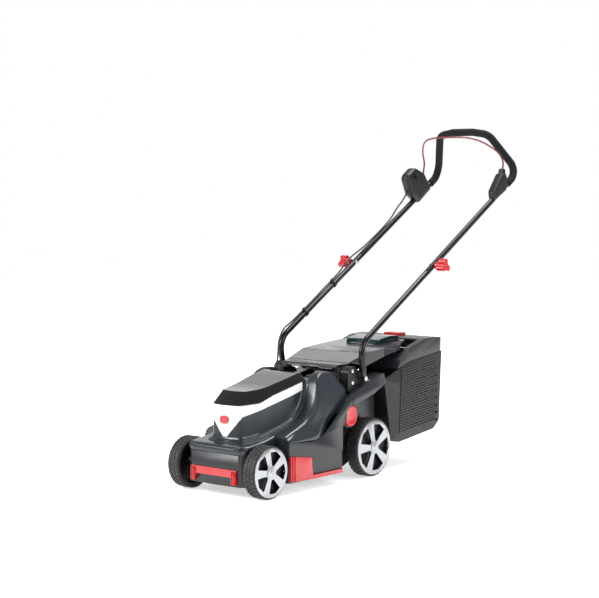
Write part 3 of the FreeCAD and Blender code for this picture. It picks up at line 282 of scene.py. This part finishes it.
def stacked(rings, closed_top=False):
    """Shell through rings given as right halves (x, y, z) in mm, mirrored to the left."""
    shell = bmesh.new()
    rows = []
    for ring in rings:
        right = [shell.verts.new((x * MM, y * MM + REAR_SHIFT, z * MM)) for x, y, z in ring]
        left = [shell.verts.new((-x * MM, y * MM + REAR_SHIFT, z * MM)) for x, y, z in ring[1:-1]]
        rows.append((right, [right[0], *left, right[-1]]))
    for (low_right, low_left), (high_right, high_left) in zip(rows, rows[1:]):
        for low, high in ((low_right, high_right), (low_left, high_left)):
            for i in range(len(low) - 1):
                shell.faces.new((low[i], low[i + 1], high[i + 1], high[i]))
    if closed_top:
        right, left = rows[-1]
        for i in range(len(right) - 1):
            shell.faces.new(list(dict.fromkeys((right[i], right[i + 1], left[i + 1], left[i]))))
    bmesh.ops.remove_doubles(shell, verts=shell.verts, dist=WELD_GAP)
    bmesh.ops.recalc_face_normals(shell, faces=shell.faces)
    return shell


def cover_section(y):
    """Half section of the cover at one station, from its middle to its foot."""
    top = read_off(COVER_TOP, y)
    floor_level = min(top, CARRY_FLOOR)
    reach = read_off(COVER_REACH, y)
    foot = read_off(COVER_FOOT, y)
    crest = min(read_off(COVER_WIDTH, top), reach)
    edge = top - foot
    line = [(0, floor_level), (40, floor_level), (80, floor_level), (92, floor_level),
            (92.6, max(floor_level, top - 3)), (94, max(floor_level, top - 0.8)), (97, top),
            (crest - 16, top), (crest - 9, top - 0.5)]
    for turn in (20, 40, 60, 80):
        angle = math.radians(turn)
        bend = min(9, edge * 0.5)
        line.append((crest - 9 + 9 * math.sin(angle), top - 0.5 - bend * (1 - math.cos(angle))))
    start = line[-1][1]
    for share in (0.2, 0.4, 0.6, 0.8, 1.0):
        z = start + (foot - start) * share
        line.append((min(read_off(COVER_WIDTH, z), reach), z))
    return line


stations = [-57, -56.2, -55.5, -53, -51, -47, -44, -40, -37, -33, -30, -20, -5, 10, 25, 40, 58, 75, 83.9,
            84.6, 86, 88, 92, 100, 110, 127, 145, 162, 180, 193, 205, 214, 222, 229, 236, 242, 248, 253,
            258, 263, 268, 274, 280, 288, 296, 307, 318, 328, 338, 344, 350, 355, 360, 364, 368, 372, 376,
            380, 384]
cover_satin = moulded_plastic("cover_satin", (0.013, 0.017, 0.023), 0.25, grain_depth=0.02, mottle=0.06)
shell = bmesh.new()
rows = []
for y in stations:
    half = cover_section(y)
    points = [(-x, z) for x, z in reversed(half[1:])] + half
    rows.append([shell.verts.new((x * MM, y * MM + REAR_SHIFT, z * MM)) for x, z in points])
for low, high in zip(rows, rows[1:]):
    for i in range(len(low) - 1):
        shell.faces.new((low[i], low[i + 1], high[i + 1], high[i]))
shell.faces.new(rows[0])
bmesh.ops.recalc_face_normals(shell, faces=shell.faces)
if sum(face.normal.z for face in shell.faces) < 0:
    bmesh.ops.reverse_faces(shell, faces=shell.faces)
cover_skin = shown("cover_shoulders", soft_shaded(shell, "cover_shoulders", 30), cover_satin, "chassis",
                   "motor_cover")
wall = cover_skin.modifiers.new("wall", "SOLIDIFY")
wall.thickness = COVER_WALL
wall.offset = -1

RIM_DROP, POD_FLOOR = 6, 170
pod_line = rounded_plan(POD_PLAN)
pod_ways = outward(pod_line)


def pod_ring(grow, lift):
    """Ring round the pod: grown outwards, and lifted above the cover's top surface."""
    ring = []
    for point, way in zip(pod_line, pod_ways):
        p = point + way * grow
        level = min(read_off(COVER_TOP, p.y) + lift, read_off(POD_TOP, point.y) - RIM_DROP)
        ring.append((max(p.x, 0), p.y, level))
    return ring


def pod_rim(inset, drop):
    """Ring near the pod's rim: moved inwards, and dropped below the rim's line."""
    moved = [(point, point + way * -inset) for point, way in zip(pod_line, pod_ways)]
    return [(max(p.x, 0), p.y, read_off(POD_TOP, point.y) - drop) for point, p in moved]


pod_rings = [pod_ring(15, -4), pod_ring(14.5, 1), pod_ring(12.5, 3.2), pod_ring(8, 4.2), pod_ring(3.5, 6),
             pod_ring(1, 9.5), pod_ring(-0.5, 15), pod_rim(0.5, 1.5), pod_rim(2, 0.6), pod_rim(5, 0.6)]
pod_rings.append([(x, y, POD_FLOOR) for x, y, _ in pod_rim(5.2, 0)])
shown("battery_pod", soft_shaded(stacked(pod_rings), "battery_pod", 30), cover_satin, "chassis",
      "motor_cover")
pearl = moulded_plastic("pearl_abs", (0.72, 0.73, 0.72), 0.22, grain_depth=0.05, mottle=0.03, coat=0.4)
softened("cover_band", 0.0003, pearl)
softened("badge", 0.0012, red)

# ---- battery lid: gloss black ABS hood with a wide flat bevel all round, hinged at the rear; a thin
# shadow gap parts it from the white band.
LID_TOP = [(10, 293), (30, 294.6), (60, 296.6), (80, 298.5), (110, 303.5), (140, 310.5), (173, 318),
           (205, 325.5), (236, 332), (262, 335)]
LID_FRONT, FRONT_SLOPE = -13, 31
SIDE_TAPER, LENGTH_TAPER = 0.195, 0.15
SHADOW_GAP = 0.6


def lid_ring(share, rise=0.0):
    """Ring of the lid between its lower edge (share 0) and its top face (share 1)."""
    ring = []
    for p in pod_line:
        x = p.x * (1 - SIDE_TAPER * share)
        y = LID_FRONT + FRONT_SLOPE * share + (p.y - LID_FRONT) * (1 - LENGTH_TAPER * share)
        low, high = read_off(POD_TOP, p.y) + SHADOW_GAP, read_off(LID_TOP, y)
        ring.append((x, y, low + (high - low) * share + rise))
    return ring


gloss_black = moulded_plastic("gloss_black", (0.0025, 0.0025, 0.003), 0.07, grain_depth=0)
lid_rings = [lid_ring(0), lid_ring(0.06), lid_ring(0.96), lid_ring(1.0), lid_ring(1.06, 0.4)]
hood = shown("lid_hood", soft_shaded(stacked(lid_rings, True), "lid_hood", 14), gloss_black, "battery_lid",
             "battery_lid")
hood_wall = hood.modifiers.new("wall", "SOLIDIFY")
hood_wall.thickness = 0.0025
hood_wall.offset = -1
hood_edge = hood.modifiers.new("edge", "BEVEL")
hood_edge.width = 0.0012
hood_edge.segments = 2
hood_edge.limit_method = "ANGLE"
hood_edge.angle_limit = math.radians(16)
softened("battery_pack", 0.0015, anthracite)

# ---- wheels: five-spoke rims, lacquered silver in front of a black barrel, in black rubber tyres with
# three rows of tread lugs; each turns on a plain bush and is held by a snap-on hub cap.


def turned(profile, axis_y, axis_z, face, sign, steps=96):
    """Closed round piece about a line along X; profile holds (depth behind the outer face, radius)."""
    shell = bmesh.new()
    rows = []
    for i in range(steps):
        angle = 2 * math.pi * i / steps
        rows.append([shell.verts.new((sign * (face - depth), axis_y + r * math.cos(angle),
                                      axis_z + r * math.sin(angle))) for depth, r in profile])
    count = len(profile)
    for i in range(steps):
        a, b = rows[i], rows[(i + 1) % steps]
        for j in range(count):
            k = (j + 1) % count
            shell.faces.new((a[j], a[k], b[k], b[j]))
    bmesh.ops.remove_doubles(shell, verts=shell.verts, dist=WELD_GAP)
    bmesh.ops.recalc_face_normals(shell, faces=shell.faces)
    return shell


def tread_tree():
    """Rings of rubber lugs: a lug of the stated size stands on every point of each row."""
    tree = bpy.data.node_groups.new("tread_lugs", "GeometryNodeTree")
    face_in = tree.interface
    face_in.new_socket("Geometry", in_out="OUTPUT", socket_type="NodeSocketGeometry")
    face_in.new_socket("Geometry", in_out="INPUT", socket_type="NodeSocketGeometry")
    face_in.new_socket("Lugs per row", in_out="INPUT", socket_type="NodeSocketInt")
    for label in ("Tread radius", "Lug width", "Lug length", "Lug height", "Row spacing"):
        face_in.new_socket(label, in_out="INPUT", socket_type="NodeSocketFloat")
    face_in.new_socket("Wheel centre", in_out="INPUT", socket_type="NodeSocketVector")
    face_in.new_socket("Rubber", in_out="INPUT", socket_type="NodeSocketMaterial")
    nodes, links = tree.nodes, tree.links
    given = nodes.new("NodeGroupInput")
    done = nodes.new("NodeGroupOutput")

    def maths(kind, a, b):
        node = nodes.new("ShaderNodeMath")
        node.operation = kind
        for socket, value in zip(node.inputs, (a, b)):
            if isinstance(value, (int, float)):
                socket.default_value = value
            else:
                links.new(value, socket)
        return node.outputs[0]

    size = nodes.new("ShaderNodeCombineXYZ")
    links.new(given.outputs["Lug width"], size.inputs["X"])
    links.new(given.outputs["Lug length"], size.inputs["Y"])
    links.new(given.outputs["Lug height"], size.inputs["Z"])
    lug = nodes.new("GeometryNodeMeshCube")
    links.new(size.outputs[0], lug.inputs["Size"])
    joined = nodes.new("GeometryNodeJoinGeometry")
    number = nodes.new("GeometryNodeInputIndex")
    for row in (-1, 0, 1):
        place = nodes.new("ShaderNodeCombineXYZ")
        links.new(maths("MULTIPLY", given.outputs["Row spacing"], row), place.inputs["X"])
        links.new(given.outputs["Tread radius"], place.inputs["Z"])
        moved = nodes.new("GeometryNodeTransform")
        links.new(lug.outputs["Mesh"], moved.inputs["Geometry"])
        links.new(place.outputs[0], moved.inputs["Translation"])
        points = nodes.new("GeometryNodePoints")
        links.new(given.outputs["Lugs per row"], points.inputs["Count"])
        step = maths("DIVIDE", 2 * math.pi, given.outputs["Lugs per row"])
        turn = maths("MULTIPLY", maths("ADD", number.outputs[0], 0.5 * abs(row)), step)
        spin = nodes.new("ShaderNodeCombineXYZ")
        links.new(turn, spin.inputs["X"])
        spread = nodes.new("GeometryNodeInstanceOnPoints")
        links.new(points.outputs[0], spread.inputs["Points"])
        links.new(moved.outputs["Geometry"], spread.inputs["Instance"])
        links.new(spin.outputs[0], spread.inputs["Rotation"])
        links.new(spread.outputs["Instances"], joined.inputs["Geometry"])
    centred = nodes.new("GeometryNodeTransform")
    links.new(joined.outputs["Geometry"], centred.inputs["Geometry"])
    links.new(given.outputs["Wheel centre"], centred.inputs["Translation"])
    real = nodes.new("GeometryNodeRealizeInstances")
    links.new(centred.outputs["Geometry"], real.inputs["Geometry"])
    coated = nodes.new("GeometryNodeSetMaterial")
    links.new(real.outputs["Geometry"], coated.inputs["Geometry"])
    links.new(given.outputs["Rubber"], coated.inputs["Material"])
    links.new(coated.outputs["Geometry"], done.inputs["Geometry"])
    return tree


def grown(name, tree, values):
    """Runs a tree with the stated inputs and keeps what it makes as a plain mesh."""
    seed_mesh = bpy.data.meshes.new(name + "_seed")
    seed = bpy.data.objects.new(name + "_seed", seed_mesh)
    bpy.context.scene.collection.objects.link(seed)
    maker = seed.modifiers.new(name + "_maker", "NODES")
    maker.node_group = tree
    for item in tree.interface.items_tree:
        if item.in_out == "INPUT" and item.name in values:
            maker[item.identifier] = values[item.name]
    seed.update_tag()
    evaluated = seed.evaluated_get(bpy.context.evaluated_depsgraph_get())
    mesh = bpy.data.meshes.new_from_object(evaluated)
    mesh.name = name
    bpy.data.objects.remove(seed)
    return mesh


SILVER_DEPTH, BARREL_DEPTH = 0.0012, 0.0045
rubber = moulded_plastic("tyre_rubber", (0.010, 0.010, 0.0105), 0.62, grain=0.0015, grain_depth=0.5,
                         dust=0.004)
silver = moulded_plastic("silver_lacquer", (0.36, 0.37, 0.39), 0.3, grain_depth=0.06, mottle=0.05,
                         metal=0.85, coat=0.2)
lugs = tread_tree()
for wheel_name in ("front_left", "front_right", "rear_left", "rear_right"):
    low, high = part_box(wheel_name + "_tyre")
    sign = 1 if wheel_name.endswith("left") else -1
    body = wheel_name + "_wheel"
    axis_y, axis_z = (low[1] + high[1]) / 2, (low[2] + high[2]) / 2
    R = (high[2] - low[2]) / 2
    width = high[0] - low[0]
    face = max(abs(low[0]), abs(high[0]))
    tyre_profile = [(0.003, 0.905 * R), (0.0008, 0.915 * R), (0.0002, 0.93 * R), (0.0008, 0.948 * R),
                    (0.0016, 0.955 * R), (0.0016, 0.962 * R), (0.004, 0.972 * R), (0.009, R - 0.0018),
                    (width - 0.009, R - 0.0018), (width - 0.004, 0.97 * R), (width - 0.001, 0.94 * R),
                    (width - 0.001, 0.88 * R), (width - 0.003, 0.862 * R), (0.006, 0.862 * R),
                    (0.0055, 0.905 * R)]
    carcass = soft_shaded(turned(tyre_profile, axis_y, axis_z, face, sign), wheel_name + "_carcass", 45)
    shown(wheel_name + "_carcass", carcass, rubber, body, wheel_name + "_tyre")
    tread = grown(wheel_name + "_lugs", lugs, {
        "Lugs per row": 34, "Tread radius": R - 0.0015, "Lug width": 0.0105, "Lug length": 0.0105,
        "Lug height": 0.0024, "Row spacing": 0.0128, "Rubber": rubber,
        "Wheel centre": (sign * (face - width / 2), axis_y, axis_z)})
    shown(wheel_name + "_tread", tread, rubber, body)
    rim_shell = moulded_copy(wheel_name + "_rim")
    rounded_edges(rim_shell, 0.0009, 40, 2)
    rim = shown(wheel_name + "_spokes", soft_shaded(rim_shell, wheel_name + "_spokes", 34), silver, body,
                wheel_name + "_rim")
    rim.data.materials.append(black)
    for polygon in rim.data.polygons:
        depth = face - sign * polygon.center.x
        radius = math.hypot(polygon.center.y - axis_y, polygon.center.z - axis_z)
        if depth > BARREL_DEPTH or (depth > SILVER_DEPTH and 0.24 * R < radius < 0.8 * R):
            polygon.material_index = 1
    cap_profile = [(-0.0035, 0.0), (-0.0034, 0.004), (-0.0028, 0.0078), (-0.0012, 0.0102),
                   (0.0004, 0.0108), (0.002, 0.0108), (0.002, 0.0)]
    shown(wheel_name + "_hub_cap", soft_shaded(turned(cap_profile, axis_y, axis_z, face, sign, 48),
                                               wheel_name + "_hub_cap", 40), silver, body)

# ---- bumper and side trims: bright red ABS guards clipped over the deck's front and behind the front
# wheels, with standing ribs at their ends.
for node in ("bumper_trim", "side_trim_left", "side_trim_right"):
    softened(node, 0.0009, red)

# ---- height button: a pressed red oval with a dished face, sprung in a dark well on the left plate.
button_low, button_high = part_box("height_button")
shell = bmesh.new()
middle = [(a + b) / 2 for a, b in zip(button_low, button_high)]
reach_y, reach_z = (button_high[1] - button_low[1]) / 2, (button_high[2] - button_low[2]) / 2
rings = [(0.98, 0.0), (1.0, 0.004), (1.0, 0.0150), (0.975, 0.0172), (0.92, 0.0185), (0.84, 0.019),
         (0.76, 0.0186), (0.70, 0.0178), (0.35, 0.0172)]
OVAL_STEPS, OVAL_FULLNESS = 64, 0.88
rows = []
for share, out in rings:
    row = []
    for i in range(OVAL_STEPS):
        angle = 2 * math.pi * i / OVAL_STEPS
        c, d = math.cos(angle), math.sin(angle)
        row.append(shell.verts.new((button_low[0] + out,
                                    middle[1] + reach_y * share * math.copysign(abs(c) ** OVAL_FULLNESS, c),
                                    middle[2] + reach_z * share * math.copysign(abs(d) ** OVAL_FULLNESS, d))))
    rows.append(row)
for low_row, high_row in zip(rows, rows[1:]):
    for i in range(OVAL_STEPS):
        k = (i + 1) % OVAL_STEPS
        shell.faces.new((low_row[i], low_row[k], high_row[k], high_row[i]))
shell.faces.new(rows[0])
shell.faces.new(rows[-1])
bmesh.ops.recalc_face_normals(shell, faces=shell.faces)
shown("height_button_cap", soft_shaded(shell, "height_button_cap", 50), red, "height_button", "height_button")

# ---- handle brackets, hinge bridge, their fixings and the duct: black glass-filled nylon blocks screwed
# to the plates, zinc-plated screws, a pivot bolt that each handle tube swings on, and the moulded duct
# that leads the cut grass to the box.
for tag in ("left", "right"):
    softened("handle_bracket_" + tag, 0.0018, black)
softened("hinge_bridge", 0.001, black)
softened("bracket_screws", 0.0008, zinc)
softened("pivot_bolts", 0.0012, zinc)
softened("discharge_duct", 0.002, black)

# ---- discharge flap: satin moulded sheet with a smoked window hump, sprung shut on its hinge pin, so
# that it closes the opening when the box is off.
flap_satin = moulded_plastic("flap_satin", (0.020, 0.020, 0.025), 0.22, grain_depth=0.03, mottle=0.06)
smoke = moulded_plastic("smoked_window", (0.003, 0.016, 0.016), 0.08, grain_depth=0)
softened("rear_flap", 0.0012, flap_satin)
softened("flap_window", 0.003, smoke)

# ---- grass box: black polypropylene basket with a lid moulded on top. Thin slats run along its sides
# over the vent slots, and fine upright ribs part them.
softened("box_shell", 0.002, black)
softened("box_lid", 0.003, anthracite)
softened("box_grip", 0.002, red)


def grille_tree():
    """Rows of slats and columns of ribs on one side of the box."""
    tree = bpy.data.node_groups.new("box_grille", "GeometryNodeTree")
    sockets = tree.interface
    sockets.new_socket("Geometry", in_out="OUTPUT", socket_type="NodeSocketGeometry")
    sockets.new_socket("Geometry", in_out="INPUT", socket_type="NodeSocketGeometry")
    for label, kind in (("Bars", "Int"), ("Bar size", "Vector"), ("First bar", "Vector"),
                        ("Last bar", "Vector"), ("Tilt", "Float"), ("Plastic", "Material")):
        sockets.new_socket(label, in_out="INPUT", socket_type="NodeSocket" + kind)
    nodes, links = tree.nodes, tree.links
    given, done = nodes.new("NodeGroupInput"), nodes.new("NodeGroupOutput")
    bar = nodes.new("GeometryNodeMeshCube")
    links.new(given.outputs["Bar size"], bar.inputs["Size"])
    line = nodes.new("GeometryNodeMeshLine")
    line.mode = "END_POINTS"
    links.new(given.outputs["Bars"], line.inputs["Count"])
    links.new(given.outputs["First bar"], line.inputs["Start Location"])
    links.new(given.outputs["Last bar"], line.inputs["Offset"])
    turn = nodes.new("ShaderNodeCombineXYZ")
    links.new(given.outputs["Tilt"], turn.inputs["X"])
    spread = nodes.new("GeometryNodeInstanceOnPoints")
    links.new(line.outputs["Mesh"], spread.inputs["Points"])
    links.new(bar.outputs["Mesh"], spread.inputs["Instance"])
    links.new(turn.outputs[0], spread.inputs["Rotation"])
    real = nodes.new("GeometryNodeRealizeInstances")
    links.new(spread.outputs["Instances"], real.inputs["Geometry"])
    coated = nodes.new("GeometryNodeSetMaterial")
    links.new(real.outputs["Geometry"], coated.inputs["Geometry"])
    links.new(given.outputs["Plastic"], coated.inputs["Material"])
    links.new(coated.outputs["Geometry"], done.inputs["Geometry"])
    return tree


grille = grille_tree()
GRILLE_SIDE = 0.1505
SLAT_TILT, RIB_TILT = math.radians(6), math.radians(-3)
for tag, side in (("left", 1), ("right", -1)):
    x = side * GRILLE_SIDE
    slats = grown("slats_" + tag, grille, {
        "Bars": 25, "Bar size": (0.0026, 0.196, 0.0030), "First bar": (x, 0.748 + REAR_SHIFT, 0.1220),
        "Last bar": (x, 0.758 + REAR_SHIFT, 0.3220), "Tilt": SLAT_TILT, "Plastic": anthracite})
    shown("box_slats_" + tag, slats, anthracite, "grass_box")
    ribs = grown("ribs_" + tag, grille, {
        "Bars": 23, "Bar size": (0.0020, 0.0016, 0.206), "First bar": (x, 0.656 + REAR_SHIFT, 0.2120),
        "Last bar": (x, 0.850 + REAR_SHIFT, 0.2320), "Tilt": RIB_TILT, "Plastic": anthracite})
    shown("box_ribs_" + tag, ribs, anthracite, "grass_box")

# ---- handle: lacquered steel tube in two folding parts, a red wing knob at each clamp, and a closed-cell
# foam sleeve where the hands hold it.
lacquer_tube = moulded_plastic("tube_lacquer", (0.004, 0.004, 0.005), 0.24, grain_depth=0.04,
                               specular=0.28)
foam = moulded_plastic("grip_foam", (0.005, 0.006, 0.007), 0.85, grain=0.0022, grain_depth=0.9,
                       specular=0.25)
for node in ("lower_tube_left", "lower_tube_right", "upper_tube"):
    softened(node, 0.0004, lacquer_tube, sharp=50, steps=2)
grip = softened("foam_grip", 0.003, foam, sharp=50)
for tag in ("left", "right"):
    softened("clamp_knob_" + tag, 0.0022, red)
softened("clamp_bolts", 0.0008, zinc)

# ---- switch box and bail bracket: black moulded halves screwed round the tube; the bail pulls a
# switch in the right one, next to its start button.


# Outline's share of its full size at each share of a block's depth; the dip at the middle is the seam.
BLOCK_DEPTHS = ((0.0, 0.25), (0.01, 0.5), (0.04, 0.72), (0.1, 0.88), (0.2, 0.97), (0.34, 1.0), (0.49, 1.0),
                (0.495, 0.985), (0.505, 0.985), (0.51, 1.0), (0.66, 1.0), (0.8, 0.97), (0.9, 0.88),
                (0.96, 0.72), (0.99, 0.5), (1.0, 0.25))


def domed_block(name, corners, x_low, x_high, dome, body, *nodes):
    """Moulded half-shells as one block: side view corners (y, z, radius) in mm, with domed faces."""
    line = []
    for before, (y, z, radius), after in zip([corners[-1], *corners[:-1]], corners,
                                             [*corners[1:], corners[0]]):
        hub, start, bend = corner_arc(before[:2], (y, z), after[:2], radius)
        line += [hub + Matrix.Rotation(bend * i / 8, 2) @ start for i in range(9)]
    middle = sum(line, Vector((0, 0))) / len(line)
    shell = bmesh.new()
    rows = []
    depth = x_high - x_low
    for share, shrink in BLOCK_DEPTHS:
        shrink = 1 - (1 - shrink) * dome
        rows.append([shell.verts.new(((x_low + depth * share) * MM,
                                      (middle.x + (p.x - middle.x) * shrink) * MM + REAR_SHIFT,
                                      (middle.y + (p.y - middle.y) * shrink) * MM)) for p in line])
    for low, high in zip(rows, rows[1:]):
        for i in range(len(line)):
            k = (i + 1) % len(line)
            shell.faces.new((low[i], low[k], high[k], high[i]))
    shell.faces.new(rows[0])
    shell.faces.new(rows[-1])
    bmesh.ops.recalc_face_normals(shell, faces=shell.faces)
    shown(name, soft_shaded(shell, name, 50), black, body, *nodes)


domed_block("switch_housing", [(1176, 834, 8), (1133, 860, 16), (1100, 925, 20), (1150, 958, 24),
                               (1206, 938, 20), (1234, 902, 14), (1250, 884, 8)], -180, -140, 0.5,
            "upper_handle", "switch_box")
domed_block("bail_clamp", [(1166, 842, 8), (1238, 878, 8), (1250, 900, 8), (1238, 936, 10),
                           (1212, 936, 10), (1160, 872, 10)], 144, 176, 0.5,
            "upper_handle", "bail_bracket")
domed_block("bail_socket", [(1212, 920, 6), (1240, 924, 6), (1236, 952, 6), (1218, 952, 6)], 152, 170, 0.4,
            "upper_handle")
softened("start_button", 0.0015, black)
softened("cable_clips", 0.0008, black)

# ---- switch cable: rubber-sheathed lead from the switch box down the right tube to the motor cover,
# held by two clips, with slack at both folds of the handle.
CLAMP = Vector((0, 0.818 + REAR_SHIFT, 0.637))
HANDLE_WAY = Vector((0, 818 - 430.4, 637 - 407.1)).normalized()
HANDLE_UP = Vector((0, -HANDLE_WAY.z, HANDLE_WAY.y))
TUBE_X, LIFT = -160, 14.5


def by_tube(shift, distance, rise):
    """Point by the right tube: distance in mm up the tube from the clamp, rise in mm above its middle."""
    point = CLAMP + HANDLE_WAY * distance * MM + HANDLE_UP * rise * MM
    return Vector(((TUBE_X + shift) * MM, point.y, point.z))


def lead(name, points, radius, material):
    """Round lead or rod along a smooth spline."""
    curve = bpy.data.curves.new(name, "CURVE")
    curve.dimensions = "3D"
    spline = curve.splines.new("NURBS")
    spline.points.add(len(points) - 1)
    for control, point in zip(spline.points, points):
        control.co = (*point, 1)
    spline.order_u = 3
    spline.use_endpoint_u = True
    curve.bevel_depth = radius
    curve.bevel_resolution = 4
    curve.resolution_u = 10
    curve.use_fill_caps = True
    holder = bpy.data.objects.new(name + "_line", curve)
    bpy.context.scene.collection.objects.link(holder)
    bpy.context.view_layer.update()
    mesh = bpy.data.meshes.new_from_object(holder.evaluated_get(bpy.context.evaluated_depsgraph_get()))
    bpy.data.objects.remove(holder)
    mesh.name = name
    mesh.shade_smooth()
    mesh.materials.clear()
    mesh.materials.append(material)
    piece = bpy.data.objects.new(name, mesh)
    bpy.context.scene.collection.objects.link(piece)
    return piece


LEAD_RADIUS = 0.0028
LOWER_END = (-0.126, 0.380 + REAR_SHIFT, 0.352)
sheath = moulded_plastic("cable_sheath", (0.006, 0.006, 0.0065), 0.5, grain_depth=0.3)
upper_lead = lead("lead_upper", [
    by_tube(0, 402, 56), by_tube(0, 372, 42), by_tube(0, 340, 34), by_tube(0, 300, 30),
    by_tube(0, 262, 19), by_tube(0, 222, LIFT + 1), by_tube(0, 170, LIFT), by_tube(-1, 120, LIFT + 0.5),
    by_tube(0, 84, LIFT + 2), by_tube(1, 48, LIFT + 5), by_tube(0, 5, LIFT + 11),
    by_tube(-1, -40, LIFT + 9), by_tube(0, -84, LIFT + 2)], LEAD_RADIUS, sheath)
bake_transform(upper_lead)
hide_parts("cable_upper", "cable_loop")
lower_lead = lead("lead_lower", [
    by_tube(0, -84, LIFT + 2), by_tube(0, -122, LIFT), by_tube(-1, -172, LIFT + 0.6), by_tube(0, -226, LIFT),
    by_tube(1, -276, LIFT + 0.8), by_tube(0, -330, LIFT), by_tube(0, -378, LIFT + 1),
    by_tube(0, -418, LIFT + 6), Vector((-0.152, 0.416 + REAR_SHIFT, 0.408)),
    Vector((-0.140, 0.398 + REAR_SHIFT, 0.380)), Vector(LOWER_END),
    Vector((-0.118, 0.364 + REAR_SHIFT, 0.326))], LEAD_RADIUS, sheath)
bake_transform(lower_lead)
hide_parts("cable_lower", "cable_base")

# ---- switch bail: a thin steel rod bent to a wide bow and coated red, whose ends turn in the switch box
# and the bail bracket.
red_coat = moulded_plastic("bail_coating", (0.13, 0.003, 0.005), 0.3, grain_depth=0.1, coat=0.2)
bail_half = [(163, 1224, 935), (163, 1229, 955), (163, 1233, 975), (158, 1212, 1008), (118, 1161, 1046),
             (70, 1142, 1058)]
bail_line = bail_half + [(0, 1141, 1059)] + [(-x, y, z) for x, y, z in reversed(bail_half)]
bail_rod = lead("bail_bow", [Vector((x * MM, y * MM + REAR_SHIFT, z * MM)) for x, y, z in bail_line],
                0.003, red_coat)
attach(bail_rod, "bail")
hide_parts("bail")

# ---- studio: a plain pale floor, slightly self-lit, soft lamps round a white backdrop, and a long-lens
# camera 0.9 m high, off the mower's front left corner.
FLOOR_HALF = 9
floor_mesh = bpy.data.meshes.new("studio_floor")
floor_mesh.from_pydata([(x * FLOOR_HALF, y * FLOOR_HALF, 0) for x, y in ((-1, -1), (1, -1), (1, 1), (-1, 1))],
                       [], [(0, 1, 2, 3)])
floor = bpy.data.objects.new("studio_floor", floor_mesh)
bpy.context.scene.collection.objects.link(floor)
floor_mesh.materials.append(moulded_plastic("floor_paint", (0.9, 0.9, 0.9), 0.7, grain_depth=0, mottle=0.01,
                                            specular=0.2))
floor_shader = floor_mesh.materials[0].node_tree.nodes["Principled BSDF"]
floor_shader.inputs["Emission Color"].default_value = (1, 1, 1, 1)
floor_shader.inputs["Emission Strength"].default_value = 0.55

world = bpy.data.worlds.new("studio_air")
bpy.context.scene.world = world
world.use_nodes = True
air, air_links = world.node_tree.nodes, world.node_tree.links
dim_air = air["Background"]
dim_air.inputs["Color"].default_value = (1, 1, 1, 1)
dim_air.inputs["Strength"].default_value = 0.5
white_air = air.new("ShaderNodeBackground")
white_air.inputs["Color"].default_value = (1, 1, 1, 1)
white_air.inputs["Strength"].default_value = 1.0
seen = air.new("ShaderNodeLightPath")
choice = air.new("ShaderNodeMixShader")
air_links.new(seen.outputs["Is Camera Ray"], choice.inputs["Fac"])
air_links.new(dim_air.outputs["Background"], choice.inputs[1])
air_links.new(white_air.outputs["Background"], choice.inputs[2])
air_links.new(choice.outputs["Shader"], air["World Output"].inputs["Surface"])
bpy.context.scene.view_settings.view_transform = "Standard"


def soft_lamp(name, place, target, size, power):
    """Square soft box that faces a target."""
    lamp_data = bpy.data.lights.new(name, "AREA")
    lamp_data.size = size
    lamp_data.energy = power
    lamp = bpy.data.objects.new(name, lamp_data)
    lamp.location = place
    lamp.rotation_euler = (Vector(target) - Vector(place)).to_track_quat("-Z", "Y").to_euler()
    lamp.visible_camera = False
    bpy.context.scene.collection.objects.link(lamp)


soft_lamp("key_lamp", (-1.6, -3.2, 2.0), (0, -0.3, 0.2), 1.4, 120)
soft_lamp("fill_lamp", (3.6, -0.4, 1.8), (0, 0, 0.4), 1.3, 55)
soft_lamp("top_lamp", (0.2, 1.2, 4.2), (0, 0.2, 0.2), 3.0, 260)
soft_lamp("rear_panel", (-2.7, 3.3, 1.7), (0, 0, 0.4), 2.4, 14)

AZIMUTH, ELEVATION = math.radians(39.24), math.radians(4.04)
eye_data = bpy.data.cameras.new("eye")
eye_data.lens = 95.24
eye_data.sensor_width = 36
eye_data.clip_end = 60
eye = bpy.data.objects.new("eye", eye_data)
eye.location = (3.05435, -4.02568, 0.88921)
back = Vector((math.sin(AZIMUTH) * math.cos(ELEVATION), -math.cos(AZIMUTH) * math.cos(ELEVATION),
               math.sin(ELEVATION)))
eye.rotation_euler = back.to_track_quat("Z", "Y").to_euler()
bpy.context.scene.collection.objects.link(eye)
bpy.context.scene.camera = eye
